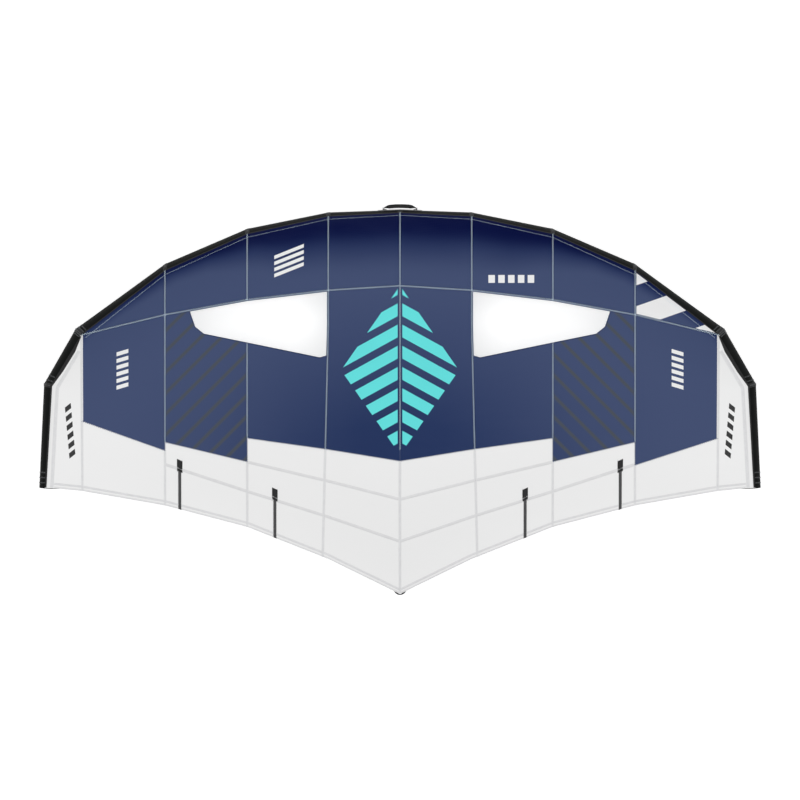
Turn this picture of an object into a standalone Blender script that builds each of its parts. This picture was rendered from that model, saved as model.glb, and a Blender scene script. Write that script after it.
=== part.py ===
# Inflatable hand-held wing for foil boards. Metres, +X to the right, +Y to the leading edge, +Z up.
# It rests as if laid down for use: on the flat middle of the leading edge and the tail of the strut.
import math

import bmesh
import bpy
import numpy as np
from mathutils import Matrix, Vector

# Plan of the wing, measured back from the foremost line of the leading edge
HALF_SPAN = 1.835
CENTRE_CHORD = 1.958
TIP_SETBACK = 1.415
# Bends of the leading edge from the centre out to the tip, as seen from above
BEND_SPAN_SHARES = (0.0, 0.199, 0.424, 0.652, 0.9, 0.987, 1.0)
BEND_SETBACK_SHARES = (0.0, 0.009, 0.068, 0.195, 0.429, 0.627, 1.0)

# Leading edge tube: radius at the centre, and the rise of the tips in the resting pose
TUBE_RADIUS = 0.125
TUBE_RADIUS_SHARES = (1.0, 0.98, 0.94, 0.84, 0.66, 0.53, 0.45)
TIP_RISE = 0.34
TUBE_RISE_SHARES = (0.0, 0.0, 0.09, 0.26, 0.52, 0.82, 1.0)
SLEEVE_WALL = 0.002
BLADDER_WALL = 0.0015
BLADDER_GAP = 0.002
COVER_STEPS = 4
BACK_STEPS = 14
FRONT_STEPS = 9

# Canopy: thickness, where it starts on the tube, how deep it is cambered and how its rear edge rises
CANOPY_THICKNESS = 0.0015
WINDOW_THICKNESS = 0.001
COVER_START_DEGREES = (28.0, 33.0, 38.0, 43.0, 60.0, 62.0, 62.0)
DRAFT_SHARES = (0.085, 0.083, 0.075, 0.065, 0.055)
DRAFT_POWER = 1.5
REAR_EDGE_SHARES = (1.0, 0.909, 0.8255, 0.7695, 0.7318)
REAR_RISE_SHARES = (0.0, 0.1, 0.3, 0.6, 0.98)
TIP_SEAM_SPAN_SHARE = 0.881
TIP_LEAVE_DEGREES = 90.0
LEAVE_MARGIN_DEGREES = 2.0
# Seams across the canopy, back from the front line, as shares of the centre chord
CROSS_SEAM_SHARES = (0.198, 0.2096, 0.2344, 0.2734)
COLOUR_SEAM_SHARES = ((0.6536, 0.6234), (0.6234, 0.5938), (0.6552, 0.6042), (0.6263, 0.5495))
# Window corners: span shares of the half span and setback shares of the centre chord
WINDOW_INNER_SETBACK_SHARE = 0.3789
WINDOW_LOW_SPAN_SHARES = (0.2223, 0.5447, 0.5692, 0.585)
WINDOW_LOW_SETBACK_SHARES = (0.3854, 0.3237, 0.3052)
STRIP_ROWS = 3
MAIN_ROWS = 5
REAR_ROWS = 3
PANEL_COLUMNS = 3
TIP_ROW_SHARES = (0.0, 0.25, 0.6, 1.0, 1.33, 1.67, 2.0)
TIP_COLUMN_SHARES = (0.3, 0.65, 1.0)

# Strut under the centre seam
STRUT_FRONT_RADIUS = 0.07
STRUT_WAIST_RADIUS = 0.066
STRUT_TAIL_RADIUS = 0.033
STRUT_TAIL_REACH = 0.0055
STRUT_WAIST_SHARE = 0.5
STRUT_TAPER_SHARE = 0.3
STRUT_AXIS_LIFT = 0.015
STRUT_BLEND_LENGTH = 0.4
STRUT_SIDES = 24
STRUT_BLADDER_SETBACK = 0.006
DOME_RINGS = 5

# Clearances
SEAM_GAP = 0.0003
CLOTH_GAP = 0.0005
PIVOT_GAP = 0.0004
CUT_OVERRUN = 0.01

# Loop handles: distance between the pivots, depth to the grip's middle, pivot height off the patch
FRONT_HANDLE_LENGTH = 0.163
FRONT_HANDLE_DEPTH = 0.012
FRONT_HANDLE_GRIP_THICKNESS = 0.017
FRONT_HANDLE_GRIP_WIDTH = 0.026
FRONT_HANDLE_STANDOFF = 0.0075
STRUT_HANDLE_LENGTH = 0.23
STRUT_HANDLE_DEPTH = 0.078
STRUT_HANDLE_GRIP_THICKNESS = 0.024
STRUT_HANDLE_GRIP_WIDTH = 0.03
STRUT_HANDLE_STANDOFF = 0.013
STRUT_HANDLE_SETBACK_SHARES = (0.3, 0.475)
WEBBING_THICKNESS = 0.005
WEBBING_END_WIDTH = 0.008
WEBBING_WIDTH = 0.018
HANDLE_END_RISE = 0.0025
HANDLE_ARCH_POWER = 2.6
HANDLE_GRIP_SHARES = (0.2, 0.34)
HANDLE_STATIONS = 28
HANDLE_SIDES = 12
SECTION_POWER = 2.6
TAB_THICKNESS = 0.004
TAB_RADIUS = 0.005
PATCH_THICKNESS = 0.002
PATCH_OVERHANG = 0.025
FRONT_PATCH_HALF_LENGTH = 0.112
FRONT_PATCH_STEPS = 2
STRUT_PATCH_STEPS = 2
TAB_SEARCH_STEPS = 6

# Inflation valve on the rear of the leading edge, left of the strut
VALVE_OFFSET = 0.22
VALVE_ANGLE_DEGREES = 168.0
VALVE_BORE_RADIUS = 0.0195
VALVE_BODY_RADIUS = 0.0235
VALVE_FLANGE_RADIUS = 0.029
VALVE_FLANGE_THICKNESS = 0.0025
VALVE_DEPTH = 0.012
VALVE_HEIGHT = 0.012
VALVE_CLEARANCE = 0.0005
VALVE_CORE_BOTTOM = -0.011
VALVE_CORE_TOP = -0.005
VALVE_KEY_LENGTH = 0.028
VALVE_KEY_THICKNESS = 0.004
VALVE_CAP_RADIUS = 0.0235
VALVE_CAP_THICKNESS = 0.003
VALVE_CAP_CROWN = 0.002
VALVE_HINGE_DISTANCE = 0.031
VALVE_KNUCKLE_RADIUS = 0.003
VALVE_KNUCKLE_LENGTH = 0.012
VALVE_EAR_THICKNESS = 0.003
ROUND_SIDES = 32

# Port that joins the two bladders inside the wing
PORT_OFFSET = 0.03
PORT_RADIUS = 0.01
PORT_BORE_RADIUS = 0.007
PORT_REACH = 0.02

# Batten pockets on the rear edge
BATTEN_OFFSETS = {"inner": 0.6375, "outer": 1.1215}
BATTEN_LENGTH = 0.252
BATTEN_WIDTH = 0.0155
BATTEN_THICKNESS = 0.003
BATTEN_PATCH_WIDTH = 0.0285
BATTEN_PATCH_LENGTH = 0.06
BATTEN_SHOULDER = 0.003
BATTEN_GAP = 0.0007

SIDES = {"right": 1.0, "left": -1.0}
BENDS = len(BEND_SPAN_SHARES)
SEAMS = len(REAR_EDGE_SHARES)
MERGE = 1e-6
SHARP_DEGREES = 35.0
ARC_POINTS = 9

# The origin is the middle of the outline: the front handle stands ahead of the tube, the tail behind
HANDLE_REACH = FRONT_HANDLE_STANDOFF + FRONT_HANDLE_DEPTH + FRONT_HANDLE_GRIP_THICKNESS / 2
FRONT_Y = (CENTRE_CHORD + STRUT_TAIL_REACH - HANDLE_REACH) / 2
REAR_Z = 2 * STRUT_TAIL_RADIUS + CLOTH_GAP


def clear_scene():
    for thing in list(bpy.data.objects):
        bpy.data.objects.remove(thing, do_unlink=True)


def new_material(name, colour, roughness, metallic=0.0, alpha=1.0):
    material = bpy.data.materials.new(name)
    material.use_nodes = True
    shader = material.node_tree.nodes["Principled BSDF"]
    shader.inputs["Base Color"].default_value = (*colour, 1.0)
    shader.inputs["Roughness"].default_value = roughness
    shader.inputs["Metallic"].default_value = metallic
    shader.inputs["Alpha"].default_value = alpha
    return material


def make_materials():
    return {
        "black sailcloth": new_material("black sailcloth", (0.011, 0.012, 0.013), 0.6),
        "navy ripstop": new_material("navy ripstop", (0.012, 0.018, 0.09), 0.55),
        "striped ripstop": new_material("striped ripstop", (0.02, 0.022, 0.075), 0.55),
        "white ripstop": new_material("white ripstop", (0.82, 0.82, 0.82), 0.55),
        "clear film": new_material("clear film", (0.9, 0.92, 0.92), 0.1, alpha=0.35),
        "bladder film": new_material("bladder film", (0.75, 0.77, 0.72), 0.3, alpha=0.6),
        "black webbing": new_material("black webbing", (0.015, 0.015, 0.016), 0.75),
        "black foam": new_material("black foam", (0.02, 0.02, 0.021), 0.85),
        "black plastic": new_material("black plastic", (0.02, 0.02, 0.022), 0.4),
        "grey plastic": new_material("grey plastic", (0.2, 0.2, 0.21), 0.4),
    }


def add_object(name, mesh, material, matrix=None):
    mesh.materials.append(material)
    mesh.shade_smooth()
    mesh.set_sharp_from_angle(angle=math.radians(SHARP_DEGREES))
    made = bpy.data.objects.new(name, mesh)
    bpy.context.scene.collection.objects.link(made)
    if matrix is not None:
        made.matrix_world = matrix
    return made


def mesh_from(name, points, faces, inner_skin=None):
    """A mesh whose touching points are merged and whose faces look outwards. The faces of a separate
    inner skin, whose points start at this index, look into the hollow instead."""
    mesh = bpy.data.meshes.new(name)
    mesh.from_pydata([tuple(p) for p in np.asarray(points, float).reshape(-1, 3)], [], faces)
    work = bmesh.new()
    work.from_mesh(mesh)
    if inner_skin is None:
        bmesh.ops.remove_doubles(work, verts=work.verts, dist=MERGE)
    bmesh.ops.recalc_face_normals(work, faces=work.faces)
    if inner_skin is not None:
        inside = [face for face in work.faces if face.verts[0].index >= inner_skin]
        bmesh.ops.reverse_faces(work, faces=inside)
    work.to_mesh(mesh)
    work.free()
    return mesh


def add_helper(name, mesh, matrix=None):
    made = bpy.data.objects.new(name, mesh)
    bpy.context.scene.collection.objects.link(made)
    made.hide_render = True
    made.display_type = "WIRE"
    if matrix is not None:
        made.matrix_world = matrix
    return made


def combine(target, helper, operation):
    step = target.modifiers.new(helper.name, "BOOLEAN")
    step.operation = operation
    step.object = helper


def lerp(a, b, share):
    return np.asarray(a) * (1 - share) + np.asarray(b) * share


def smooth(share):
    share = min(max(share, 0.0), 1.0)
    return share * share * (3 - 2 * share)


def draft_curve(share):
    """Camber along a chord, 1 at its deepest, straight at the rear edge."""
    peak = 1 / (1 + DRAFT_POWER)
    return share * (1 - share) ** DRAFT_POWER / (peak * (1 - peak) ** DRAFT_POWER)


def draft_start_slope():
    peak = 1 / (1 + DRAFT_POWER)
    return 1 / (peak * (1 - peak) ** DRAFT_POWER)


# Leading edge rings

def outline_point(bend):
    return np.array([HALF_SPAN * BEND_SPAN_SHARES[bend], FRONT_Y - TIP_SETBACK * BEND_SETBACK_SHARES[bend]])


def run_direction(bend):
    run = outline_point(bend + 1) - outline_point(bend)
    return run / np.linalg.norm(run)


def ring_frame(bend):
    """Centre of the tube at a bend, the level direction out through its front, and the stretch that way.
    The inner rings stand in planes across the span, under the seams; the outer ones halve the bend."""
    radius = TUBE_RADIUS * TUBE_RADIUS_SHARES[bend]
    height = radius + TIP_RISE * TUBE_RISE_SHARES[bend]
    if bend == BENDS - 1:
        along = run_direction(bend - 1)
        stretch = 1.0
    elif bend < SEAMS - 1:
        runs = [run_direction(bend)]
        if bend:
            runs.append(run_direction(bend - 1))
        else:
            runs.append(run_direction(0) * np.array([1.0, -1.0]))
        turn = sum(math.atan2(abs(run[1]), run[0]) for run in runs) / 2 if bend else 0.0
        along = np.array([1.0, 0.0])
        stretch = 1 / math.cos(turn)
    else:
        along = run_direction(bend) + run_direction(bend - 1)
        along = along / np.linalg.norm(along)
        stretch = 1 / float(along @ run_direction(bend))
    front = np.array([-along[1], along[0]])
    middle = outline_point(bend) - front * radius * stretch
    return np.array([*middle, height]), np.array([*front, 0.0]), stretch, radius


def rear_edge_point(seam):
    span = TIP_SEAM_SPAN_SHARE if seam == SEAMS - 1 else BEND_SPAN_SHARES[seam]
    back = CENTRE_CHORD * REAR_EDGE_SHARES[seam]
    return np.array([HALF_SPAN * span, FRONT_Y - back, REAR_Z + TIP_RISE * REAR_RISE_SHARES[seam]])


def leave_angle(bend):
    """Angle round the tube, from its front over its top, where the canopy parts from it."""
    middle, _, _, radius = ring_frame(bend)
    top = middle[2] + radius
    if bend < SEAMS - 1:
        rear = rear_edge_point(bend)
        fall = (top - rear[2]) / (middle[1] - rear[1])
        return 90.0 - math.degrees(math.atan(draft_start_slope() * DRAFT_SHARES[bend] - fall))
    if bend == SEAMS - 1:
        return TIP_LEAVE_DEGREES
    share = tip_share(middle[1])
    seam_point = seam_curve(SEAMS - 1, share)
    fall = (top - seam_point[2]) / (middle[0] - seam_point[0])
    return 90.0 + math.degrees(math.atan(fall)) + LEAVE_MARGIN_DEGREES


def tip_share(y):
    """Share of the tip seam's chord at this distance back."""
    front = ring_frame(SEAMS - 1)[0][1]
    return (front - y) / (front - rear_edge_point(SEAMS - 1)[1])


def ring_angles(bend):
    """Corners of the tube: from the canopy's edge to where it parts, down the back, and up the front."""
    start = COVER_START_DEGREES[bend]
    leave = leave_angle(bend)
    cover = np.linspace(start, leave, COVER_STEPS + 1)
    back = np.linspace(leave, 270.0, BACK_STEPS + 1)[1:]
    front = np.linspace(270.0, start + 360.0, FRONT_STEPS + 1)[1:-1]
    return np.radians(np.concatenate([cover, back, front]))


def ring(bend, offset):
    middle, front, stretch, radius = ring_frame(bend)
    angles = ring_angles(bend)
    level = np.outer(np.cos(angles) * stretch, front)
    upright = np.outer(np.sin(angles), (0.0, 0.0, 1.0))
    return middle + (radius + offset) * (level + upright)


def tube_faces(rings, sides, first=0, swapped=0):
    """Triangles between neighbouring rings of corners. The first so many runs have the other diagonal."""
    faces = []
    for i in range(rings - 1):
        for k in range(sides):
            a = first + i * sides + k
            b = first + i * sides + (k + 1) % sides
            if i < swapped:
                faces.append((a, b, a + sides))
                faces.append((b, b + sides, a + sides))
            else:
                faces.append((a, b, b + sides))
                faces.append((a, b + sides, a + sides))
    return faces


def tube_shell(name, outer, inner, start_closed, end_closed, swapped=0):
    """A pipe wall from two lists of rings. A closed end has a disc on both skins, an open one a rim."""
    sides = len(outer[0])
    points = np.concatenate([*outer, *inner])
    split = len(outer) * sides
    faces = tube_faces(len(outer), sides, 0, swapped) + tube_faces(len(inner), sides, split, swapped)
    ends = ((0, split, start_closed), (split - sides, len(points) - sides, end_closed))
    for a, b, closed in ends:
        if closed:
            faces.append(tuple(range(a, a + sides)))
            faces.append(tuple(range(b, b + sides)))
        else:
            for k in range(sides):
                n = (k + 1) % sides
                faces.append((a + k, a + n, b + n, b + k))
    return mesh_from(name, points, faces, split if start_closed and end_closed else None)


def pulled(first, second, distance):
    """The first ring moved towards the second by this distance."""
    run = second - first
    length = np.linalg.norm(run, axis=1).mean()
    return first + run * distance / length


def mirrored(points, side):
    return points * np.array([side, 1.0, 1.0])


def make_sleeves(materials):
    made = {}
    for side_name, side in SIDES.items():
        for run in range(BENDS - 1):
            last = run == BENDS - 2
            walls = []
            for offset, end_wall in ((0.0, 0.0), (-SLEEVE_WALL, SLEEVE_WALL)):
                a = ring(run, offset)
                b = ring(run + 1, offset)
                near = pulled(a, b, SEAM_GAP / 2)
                far = pulled(b, a, end_wall if last else SEAM_GAP / 2)
                walls.append([mirrored(near, side), mirrored(far, side)])
            name = f"leading_edge_sleeve_{side_name}_{run + 1}"
            mesh = tube_shell(name, walls[0], walls[1], False, last)
            made[name] = add_object(name, mesh, materials["black sailcloth"])
    return made


def make_leading_edge_bladder(materials):
    """One long bladder from tip to tip, drawn in from the sleeves by their wall and a gap. The facets of
    its left half mirror those of its right half."""
    skins = []
    for offset in (-SLEEVE_WALL - BLADDER_GAP, -SLEEVE_WALL - BLADDER_GAP - BLADDER_WALL):
        rings = [ring(bend, offset) for bend in range(BENDS)]
        rings[-1] = pulled(rings[-1], rings[-2], -offset)
        left = [mirrored(r, SIDES["left"]) for r in rings[:0:-1]]
        skins.append(left + rings)
    mesh = tube_shell("leading_edge_bladder", skins[0], skins[1], True, True, BENDS - 1)
    return add_object("leading_edge_bladder", mesh, materials["bladder film"])


# Canopy surface

def seam_ends(seam):
    start = ring(seam, CLOTH_GAP)[COVER_STEPS]
    return start, rear_edge_point(seam)


def seam_curve(seam, share):
    """A point of the canopy's lower face on a seam, this share of the way from the tube to the rear."""
    middle, front, stretch, radius = ring_frame(seam)
    if seam == SEAMS - 1:
        start = middle + np.array([0.0, 0.0, radius + CLOTH_GAP])
        end = rear_edge_point(seam)
    else:
        start, end = seam_ends(seam)
    point = lerp(start, end, share)
    depth = DRAFT_SHARES[seam] * (start[1] - end[1])
    return point + np.array([0.0, 0.0, depth * draft_curve(share)])


def canopy_point(column, across, y):
    """The lower face of the canopy, between two seams, this far across and back."""
    near, far = seam_curve(column, 0.0), seam_curve(column + 1, 0.0)
    near_end, far_end = seam_curve(column, 1.0), seam_curve(column + 1, 1.0)
    start = lerp(near, far, across)[1]
    end = lerp(near_end, far_end, across)[1]
    share = min(max((start - y) / (start - end), 0.0), 1.0)
    return lerp(seam_curve(column, share), seam_curve(column + 1, share), across)


def inset_edges(grid, distance):
    """The grid with its border points drawn in, which leaves a gap to the next panel."""
    grid = grid.copy()
    for axis in (0, 1):
        for edge, inner in ((0, 1), (-1, -2)):
            lines = np.moveaxis(grid, axis, 0)
            run = lines[inner] - lines[edge]
            length = np.maximum(np.linalg.norm(run, axis=-1, keepdims=True), MERGE)
            lines[edge] = lines[edge] + run * np.minimum(distance / length, 0.5)
    return grid


def sheet_faces(rows, columns, first=0):
    """Triangles over a grid of points, all with the same diagonal, so that two skins run alike."""
    faces = []
    for i in range(rows - 1):
        for j in range(columns - 1):
            a = first + i * columns + j
            faces.append((a, a + 1, a + columns + 1))
            faces.append((a, a + columns + 1, a + columns))
    return faces


def sheet_solid(name, lower, upper):
    """A closed sheet between two grids of points."""
    rows, columns = lower.shape[:2]
    split = rows * columns
    points = np.concatenate([lower.reshape(-1, 3), upper.reshape(-1, 3)])
    faces = sheet_faces(rows, columns) + sheet_faces(rows, columns, split)
    border = [i * columns for i in range(rows)]
    border += [(rows - 1) * columns + j for j in range(1, columns)]
    border += [i * columns + columns - 1 for i in range(rows - 2, -1, -1)]
    border += list(range(columns - 2, 0, -1))
    for a, b in zip(border, border[1:] + border[:1]):
        faces.append((a, b, b + split, a + split))
    return mesh_from(name, points, faces)


def panel_grid(column, lines, rows):
    """Rows of canopy points. Each line is how far across the column it lies, and its two ends in y."""
    grid = []
    for across, first, last in lines:
        grid.append([canopy_point(column, across, y) for y in np.linspace(first, last, rows + 1)])
    return np.array(grid)


def add_panel(name, grid, side, thickness, material, upper=None):
    if upper is None:
        upper = grid + np.array([0.0, 0.0, thickness])
    lower = inset_edges(grid, SEAM_GAP / 2)
    upper = inset_edges(upper, SEAM_GAP / 2)
    mesh = sheet_solid(name, mirrored(lower, side), mirrored(upper, side))
    return add_object(name, mesh, material)


def even_lines(start, end):
    """Evenly spaced lines across a column whose front and rear edges run straight."""
    places = np.linspace(0, 1, PANEL_COLUMNS + 1)
    return [(s, lerp(start[0], end[0], s), lerp(start[1], end[1], s)) for s in places]


def setback(share):
    return FRONT_Y - CENTRE_CHORD * share


def seam_front(seam):
    return seam_curve(seam, 0.0)[1]


def cross_seam(seam):
    """The seam that runs out from the centre and meets the tube at the last bend but two."""
    return setback(CROSS_SEAM_SHARES[seam]) if seam < len(CROSS_SEAM_SHARES) else seam_front(seam)


def colour_seam(column, outer):
    return setback(COLOUR_SEAM_SHARES[column][outer])


def rear_edge(seam):
    return rear_edge_point(seam)[1]


def across_column(column, span_share):
    near, far = BEND_SPAN_SHARES[column], BEND_SPAN_SHARES[column + 1]
    return (span_share - near) / (far - near)


def cross_seam_at(column, across):
    return float(lerp(cross_seam(column), cross_seam(column + 1), across))


def front_strip_grids(column):
    """The strip that wraps the tube from its edge and runs back to the cross seam."""
    skins = []
    for offset in (CLOTH_GAP, CLOTH_GAP + CANOPY_THICKNESS):
        near, far = ring(column, offset), ring(column + 1, offset)
        lift = np.array([0.0, 0.0, offset - CLOTH_GAP])
        grid = []
        for s in np.linspace(0, 1, PANEL_COLUMNS + 1):
            line = [lerp(near[k], far[k], s) for k in range(COVER_STEPS + 1)]
            start = lerp(seam_front(column), seam_front(column + 1), s)
            for y in np.linspace(start, cross_seam_at(column, s), STRIP_ROWS + 1)[1:]:
                line.append(canopy_point(column, s, y) + lift)
            grid.append(line)
        skins.append(np.array(grid))
    return skins


def window_low_line():
    """Span share and y along the lower edge of the window, from the inner seam outwards."""
    spans = [BEND_SPAN_SHARES[1], *WINDOW_LOW_SPAN_SHARES]
    heights = [setback(share) for share in (WINDOW_INNER_SETBACK_SHARE, *WINDOW_LOW_SETBACK_SHARES)]
    heights.append(cross_seam_at(2, across_column(2, spans[-1])))
    return spans, heights


def window_low(span_share):
    spans, heights = window_low_line()
    return float(np.interp(span_share, spans, heights))


def windowed_lines(column, part):
    """Lines across a column that the window takes part of: the window itself or the cloth behind it."""
    near, far = BEND_SPAN_SHARES[column], BEND_SPAN_SHARES[column + 1]
    edge = WINDOW_LOW_SPAN_SHARES[-1]
    spans = {near, far, *(s for s in WINDOW_LOW_SPAN_SHARES if near < s < far)}
    if part == "window":
        spans = {s for s in spans if s <= edge}
    lines = []
    for span in sorted(spans):
        across = across_column(column, span)
        front = cross_seam_at(column, across)
        low = window_low(span) if span < edge else front
        rear = lerp(colour_seam(column, 0), colour_seam(column, 1), across)
        lines.append((across, front, low) if part == "window" else (across, low, float(rear)))
    return lines


def make_canopy(materials):
    navy, white = materials["navy ripstop"], materials["white ripstop"]
    for side_name, side in SIDES.items():
        for column in range(SEAMS - 1):
            lower, upper = front_strip_grids(column)
            name = f"canopy_front_{side_name}_{column + 1}"
            add_panel(name, lower, side, CANOPY_THICKNESS, navy, upper)
            if column in (1, 2):
                lines = windowed_lines(column, "cloth")
            else:
                start = (cross_seam(column), colour_seam(column, 0))
                end = (cross_seam(column + 1), colour_seam(column, 1))
                lines = even_lines(start, end)
            cloth = materials["striped ripstop"] if column == 2 else navy
            name = f"canopy_main_{side_name}_{column + 1}"
            add_panel(name, panel_grid(column, lines, MAIN_ROWS), side, CANOPY_THICKNESS, cloth)
            start = (colour_seam(column, 0), rear_edge(column))
            end = (colour_seam(column, 1), rear_edge(column + 1))
            name = f"canopy_rear_{side_name}_{column + 1}"
            grid = panel_grid(column, even_lines(start, end), REAR_ROWS)
            add_panel(name, grid, side, CANOPY_THICKNESS, white)
        inner = panel_grid(1, windowed_lines(1, "window"), STRIP_ROWS)
        outer = panel_grid(2, windowed_lines(2, "window"), STRIP_ROWS)
        grid = np.concatenate([inner, outer[1:]])
        add_panel(f"window_{side_name}", grid, side, WINDOW_THICKNESS, materials["clear film"])
        make_tip_panel(side_name, side, white)


def make_tip_panel(side_name, side, material):
    """The outermost panel: over the tube of the last two runs, then straight across to the tip seam."""
    first = SEAMS - 1
    skins = []
    for offset in (CLOTH_GAP, CLOTH_GAP + CANOPY_THICKNESS):
        rings = [ring(bend, offset) for bend in range(first, BENDS)]
        starts = [ring(bend, CLOTH_GAP)[COVER_STEPS] for bend in range(first, BENDS)]
        lift = np.array([0.0, 0.0, offset - CLOTH_GAP])
        grid = []
        for place in TIP_ROW_SHARES:
            run = min(int(place), len(rings) - 2)
            part = place - run
            line = [lerp(rings[run][k], rings[run + 1][k], part) for k in range(COVER_STEPS + 1)]
            edge = lerp(starts[run], starts[run + 1], part)
            share = (starts[0][1] - edge[1]) / (starts[0][1] - starts[-1][1])
            seam = seam_curve(first, share)
            line += [lerp(edge, seam, a) + lift for a in TIP_COLUMN_SHARES]
            grid.append(line)
        skins.append(np.array(grid))
    add_panel(f"canopy_tip_{side_name}", skins[0], side, CANOPY_THICKNESS, material, skins[1])


# Strut

def strut_rows():
    """Distances back where the canopy's rows cross the centre seam, so that the strut follows them."""
    front = np.linspace(seam_front(0), cross_seam(0), STRIP_ROWS + 1)
    middle = np.linspace(cross_seam(0), colour_seam(0, 0), MAIN_ROWS + 1)[1:]
    rear = np.linspace(colour_seam(0, 0), rear_edge(0), REAR_ROWS + 1)[1:]
    return np.concatenate([front, middle, rear])


def strut_radius(y):
    """Radius along the strut: nearly even to half way, then a taper to the tail."""
    middle, _, _, radius = ring_frame(0)
    back = (middle[1] - radius - y) / (middle[1] - radius - tail_plane())
    taper = smooth((back - STRUT_TAPER_SHARE) / (1 - STRUT_TAPER_SHARE))
    body = lerp(STRUT_FRONT_RADIUS, STRUT_WAIST_RADIUS, smooth(back / STRUT_WAIST_SHARE))
    return float(lerp(body, STRUT_TAIL_RADIUS, taper))


def tail_plane():
    return FRONT_Y - CENTRE_CHORD - STRUT_TAIL_REACH + STRUT_TAIL_RADIUS


def strut_axis_height(y):
    """The strut hangs under the centre seam, and dips at its front to meet the tube's back."""
    middle, _, _, radius = ring_frame(0)
    under = canopy_point(0, 0.0, y)[2] - CLOTH_GAP - strut_radius(y)
    start = middle[1] - radius
    blend = smooth((start - y) / STRUT_BLEND_LENGTH)
    low = middle[2] + STRUT_AXIS_LIFT
    return float(lerp(low, under, blend))


def strut_stations():
    middle, _, _, radius = ring_frame(0)
    start = middle[1] - radius - STRUT_BLADDER_SETBACK
    inside = [y for y in strut_rows() if tail_plane() + SEAM_GAP < y < start - STRUT_BLADDER_SETBACK]
    return [start, *inside, tail_plane() + SEAM_GAP]


def strut_ring(y, offset):
    angles = np.linspace(0, 2 * math.pi, STRUT_SIDES, endpoint=False)
    radius = strut_radius(y) + offset
    height = strut_axis_height(y)
    level = np.full(STRUT_SIDES, y)
    return np.stack([radius * np.cos(angles), level, height + radius * np.sin(angles)], axis=1)


def saddle_ring(offset):
    """The strut's front rim, which follows the round back of the leading edge."""
    middle, _, _, radius = ring_frame(0)
    rim = strut_ring(middle[1] - radius, offset)
    swept = middle[1] - np.array([tube_fall(abs(x)) for x in rim[:, 0]])
    reach = radius + CLOTH_GAP
    rim[:, 1] = swept - np.sqrt(reach ** 2 - (rim[:, 2] - middle[2]) ** 2)
    return rim


def make_strut(materials):
    stations = strut_stations()
    outer = [saddle_ring(0.0)] + [strut_ring(y, 0.0) for y in stations]
    inner = [saddle_ring(-SLEEVE_WALL)] + [strut_ring(y, -SLEEVE_WALL) for y in stations]
    sleeve = tube_shell("strut_sleeve", outer, inner, False, False)
    add_object("strut_sleeve", sleeve, materials["black sailcloth"])
    skins = []
    for depth in (0.0, BLADDER_WALL):
        offset = -SLEEVE_WALL - BLADDER_GAP - depth
        rings = [strut_ring(y, offset) for y in stations]
        rings[0][:, 1] -= depth
        rings[-1][:, 1] += depth
        skins.append(rings)
    bladder = tube_shell("strut_bladder", skins[0], skins[1], True, True)
    made = add_object("strut_bladder", bladder, materials["bladder film"])
    make_tail_cap(materials)
    return made


def make_tail_cap(materials):
    """A half dome that closes the strut behind the canopy's point."""
    rings = []
    for turn in np.linspace(0, math.pi / 2, DOME_RINGS + 1)[:-1]:
        rim = strut_ring(tail_plane(), 0.0)
        centre = np.array([0.0, tail_plane(), strut_axis_height(tail_plane())])
        rim = centre + (rim - centre) * math.cos(turn)
        rim[:, 1] -= STRUT_TAIL_RADIUS * math.sin(turn)
        rings.append(rim)
    pole = np.array([[0.0, tail_plane() - STRUT_TAIL_RADIUS, strut_axis_height(tail_plane())]])
    points = np.concatenate([*rings, pole])
    last = len(points) - 1
    faces = tube_faces(len(rings), STRUT_SIDES) + [tuple(range(STRUT_SIDES))]
    first = last - STRUT_SIDES
    for k in range(STRUT_SIDES):
        faces.append((first + k, first + (k + 1) % STRUT_SIDES, last))
    mesh = mesh_from("strut_tail_cap", points, faces)
    add_object("strut_tail_cap", mesh, materials["black webbing"])


# Loop handles and the patches that carry them

def section(thickness, width):
    """Corners of a rounded band: thickness in the loop's plane, width across it."""
    turn = np.linspace(0, 2 * math.pi, HANDLE_SIDES, endpoint=False)
    power = 2 / SECTION_POWER
    inward = np.sign(np.cos(turn)) * np.abs(np.cos(turn)) ** power * thickness / 2
    across = np.sign(np.sin(turn)) * np.abs(np.sin(turn)) ** power * width / 2
    return inward, across


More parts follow.
